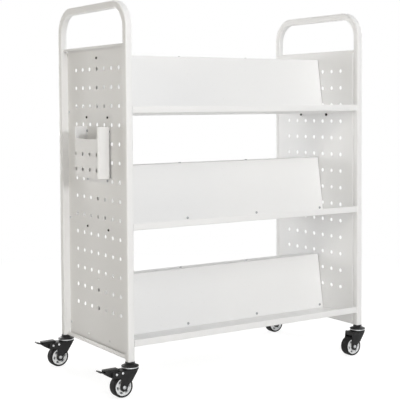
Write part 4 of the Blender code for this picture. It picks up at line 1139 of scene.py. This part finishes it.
ovals = web_tree.node("GeometryNodeInstanceOnPoints", {}, {
    "Points": points, "Instance": oval, "Rotation": aim,
})
ovals = web_tree.node("GeometryNodeRealizeInstances", {}, {"Geometry": ovals})
curves = web_tree.node("GeometryNodeJoinGeometry", {}, {"Geometry": [outline, bore, ovals]})
hand_over(web_tree, thicken(web_tree, curves, given["Wall"], WEB_SEAM), given["Finish"])

# %% [markdown]
# ### Rims and tyres
# Band and hub are rings round the web. The tyre is a spun profile with rounded shoulders and fine grooves in
# the tread. A black rubber core inside the web is painted shade: it darkens the bottom of the ovals in place
# of their own shadow. Both are drawn lying down and then stood on the axle.

# %% Mould the rims and tyres
RIM_RADIUS, RIM_BAND, RIM_HALF = 0.0257, 0.004, 0.0145
HUB_RADIUS, HUB_HALF, BORE_RADIUS = 0.0112, 0.0162, 0.0044
BAND_EDGES, HUB_EDGE = [0.0008, 0.0008, 0.0012, 0.0012], 0.0006
WEB_HALF, WEB_LAP = 0.0134, 0.0004
OVALS, OVAL_CIRCLE, OVAL_RADIUS, OVAL_LENGTH, OVAL_TURN = 6, 0.0180, 0.0029, 1.9, math.radians(8)
TYRE_HALF, TYRE_SEAT, TYRE_SHOULDER, TYRE_SIDES = 0.015, 0.0259, 0.03, 96
TREAD_EDGE, TREAD_FLAT, SHOULDER_EDGES = 0.0105, 0.007, [0.0012, 0.003]
GROOVES, GROOVE, GROOVE_WIDTH = (-0.006, 0.0, 0.006), 0.0006, 0.0012
# painted shade: a black core inside the rim's web darkens the bottom of the ovals
SHADE_CORE_HALF, SHADE_CORE_OUTER, SHADE_CORE_INNER, SHADE_CORE_EDGE = 0.007, 0.022, 0.011, 0.0004
ON_AXLE = Matrix.Translation((-TRAIL, 0, WHEEL_RADIUS)) @ Matrix.Rotation(math.pi / 2, 4, "X")
rim_well = RIM_RADIUS - RIM_BAND
web_sheet = grown(web_tree, {
    "Inner": HUB_RADIUS - WEB_LAP, "Outer": rim_well + WEB_LAP, "Wall": 2 * WEB_HALF, "Ovals": OVALS,
    "Oval Circle": OVAL_CIRCLE, "Oval Radius": OVAL_RADIUS, "Oval Length": OVAL_LENGTH,
    "Finish": rim_plastic.material,
}, "rim_web")


def hoop(body, inner, outer, half, edges, steps, sides):
    """A ring with rounded edges; edges is one radius, or one for each corner of its section."""
    section = [(outer, -half), (outer, half), (inner, half), (inner, -half)]
    turned(body, soften(section, edges, steps, True), sides)


def rim_shape():
    body = bmesh.new()
    body.from_mesh(web_sheet)
    turn = Matrix.Translation((0, 0, -WEB_HALF)) @ Matrix.Rotation(OVAL_TURN, 4, "Z")
    bmesh.ops.transform(body, matrix=turn, verts=body.verts)
    hoop(body, rim_well, RIM_RADIUS, RIM_HALF, BAND_EDGES, 3, RIM_SIDES)
    hoop(body, BORE_RADIUS, HUB_RADIUS, HUB_HALF, HUB_EDGE, 2, HUB_SIDES)
    bmesh.ops.transform(body, matrix=ON_AXLE, verts=body.verts)
    return body


def tyre_shape():
    body = bmesh.new()
    half, groove_foot = GROOVE_WIDTH / 2, WHEEL_RADIUS - GROOVE
    tread = []
    for middle in GROOVES:
        tread += [(WHEEL_RADIUS, middle - half), (groove_foot, middle - half / 2)]
        tread += [(groove_foot, middle + half / 2), (WHEEL_RADIUS, middle + half)]
    shoulder = [(TYRE_SEAT, -TYRE_HALF), (TYRE_SHOULDER, -TYRE_HALF)]
    shoulder += [(WHEEL_RADIUS, -TREAD_EDGE), (WHEEL_RADIUS, -TREAD_FLAT)]
    shoulder = soften(shoulder, SHOULDER_EDGES, 4)
    profile = shoulder + [Vector(p) for p in tread] + [Vector((p.x, -p.y)) for p in reversed(shoulder)]
    turned(body, profile, TYRE_SIDES)
    # painted shade: the black core that darkens the bottom of the ovals
    hoop(body, SHADE_CORE_INNER, SHADE_CORE_OUTER, SHADE_CORE_HALF, SHADE_CORE_EDGE, 2, RIM_SIDES)
    bmesh.ops.transform(body, matrix=ON_AXLE, verts=body.verts)
    return body


for name, end, spot in CORNERS:
    settle(f"caster_rim_{name}", rim_shape(), rim_plastic, f"wheel_{name}", f"caster_{name}_rim", at=spot)
    settle(f"caster_tyre_{name}", tyre_shape(), rubber, f"wheel_{name}", f"caster_{name}_tyre", at=spot)
bpy.data.meshes.remove(web_sheet)

# %% [markdown]
# ## Brake pedals
# The two casters of the left end have foot brakes: a cover plate over a thin lever that dips and turns up
# again at its rounded tip, and a shoe that reaches down to the tyre. The lever's side view is one smooth
# line, thickened and drawn across the pedal's width.

# %% Form the pedals
PEDAL_HALF, PEDAL_EDGE = 0.013, 0.001
COVER, COVER_EDGES = rectangle(-0.087, 0.0826, -0.041, 0.086), [0.0012, 0.001, 0.0016, 0.0016]
SHOE = [(-0.0655, 0.0835), (-0.0655, 0.062), (-0.057, 0.0566)]
SHOE += [(-0.054, 0.0566), (-0.0476, 0.066), (-0.0446, 0.0835)]
SHOE_EDGES = [0, 0.002, 0.001, 0.001, 0.003, 0]
LEVER = [(-0.060, 0.0625), (-0.074, 0.0655), (-0.092, 0.0790), (-0.1032, 0.0822)]
LEVER_BENDS, LEVER_WALL, LEVER_EDGE = [0.02, 0.03], 0.0036, 0.0009
CHEEK = [(-0.0865, 0.0775), (-0.072, 0.0668), (-0.060, 0.0645), (-0.060, 0.0835), (-0.0865, 0.0835)]
CHEEK_CORNER, CHEEK_EDGE, CHEEK_WALL, CHEEK_INSET = 0.0008, 0.0005, 0.002, 0.0006
TIP_PLACE, TIP_RADIUS, TIP_EDGE = (-0.1029, 0, 0.0842), 0.0024, 0.0008
PIN_PLACE, PIN_RADIUS, PIN_HALF, PIN_EDGE = (-0.0536, 0, 0.072), 0.003, 0.0205, 0.0006


def rod(body, place, radius, half, edge, steps, sides):
    """A round bar across the pedal."""
    profile = [(0.0, -half), (radius, -half), (radius, half), (0.0, half)]
    turned(body, soften(profile, edge, steps), sides, place, along_y)


def pedal_shape():
    body = bmesh.new()
    plate(body, soften(COVER, COVER_EDGES, 4, True), -PEDAL_HALF, PEDAL_HALF, PEDAL_EDGE, along_y)
    plate(body, soften(SHOE, SHOE_EDGES, 3, True), -PEDAL_HALF, PEDAL_HALF, PEDAL_EDGE, along_y)
    lever = sheet_edge(soften(LEVER, LEVER_BENDS, 8), -LEVER_WALL)[::-1]
    plate(body, lever, -PEDAL_HALF, PEDAL_HALF, LEVER_EDGE, along_y)
    cheek = soften(CHEEK, CHEEK_CORNER, 2, True)
    for low in (-PEDAL_HALF + CHEEK_INSET, PEDAL_HALF - CHEEK_INSET - CHEEK_WALL):
        plate(body, cheek, low, low + CHEEK_WALL, CHEEK_EDGE, along_y)
    rod(body, TIP_PLACE, TIP_RADIUS, PEDAL_HALF, TIP_EDGE, 3, 16)
    rod(body, PIN_PLACE, PIN_RADIUS, PIN_HALF, PIN_EDGE, 2, 24)
    return body


for name, end, spot in CORNERS:
    if end == "left":
        shape = pedal_shape()
        settle(f"foot_brake_{name}", shape, caster_black, f"pedal_{name}", f"brake_pedal_{name}", at=spot)
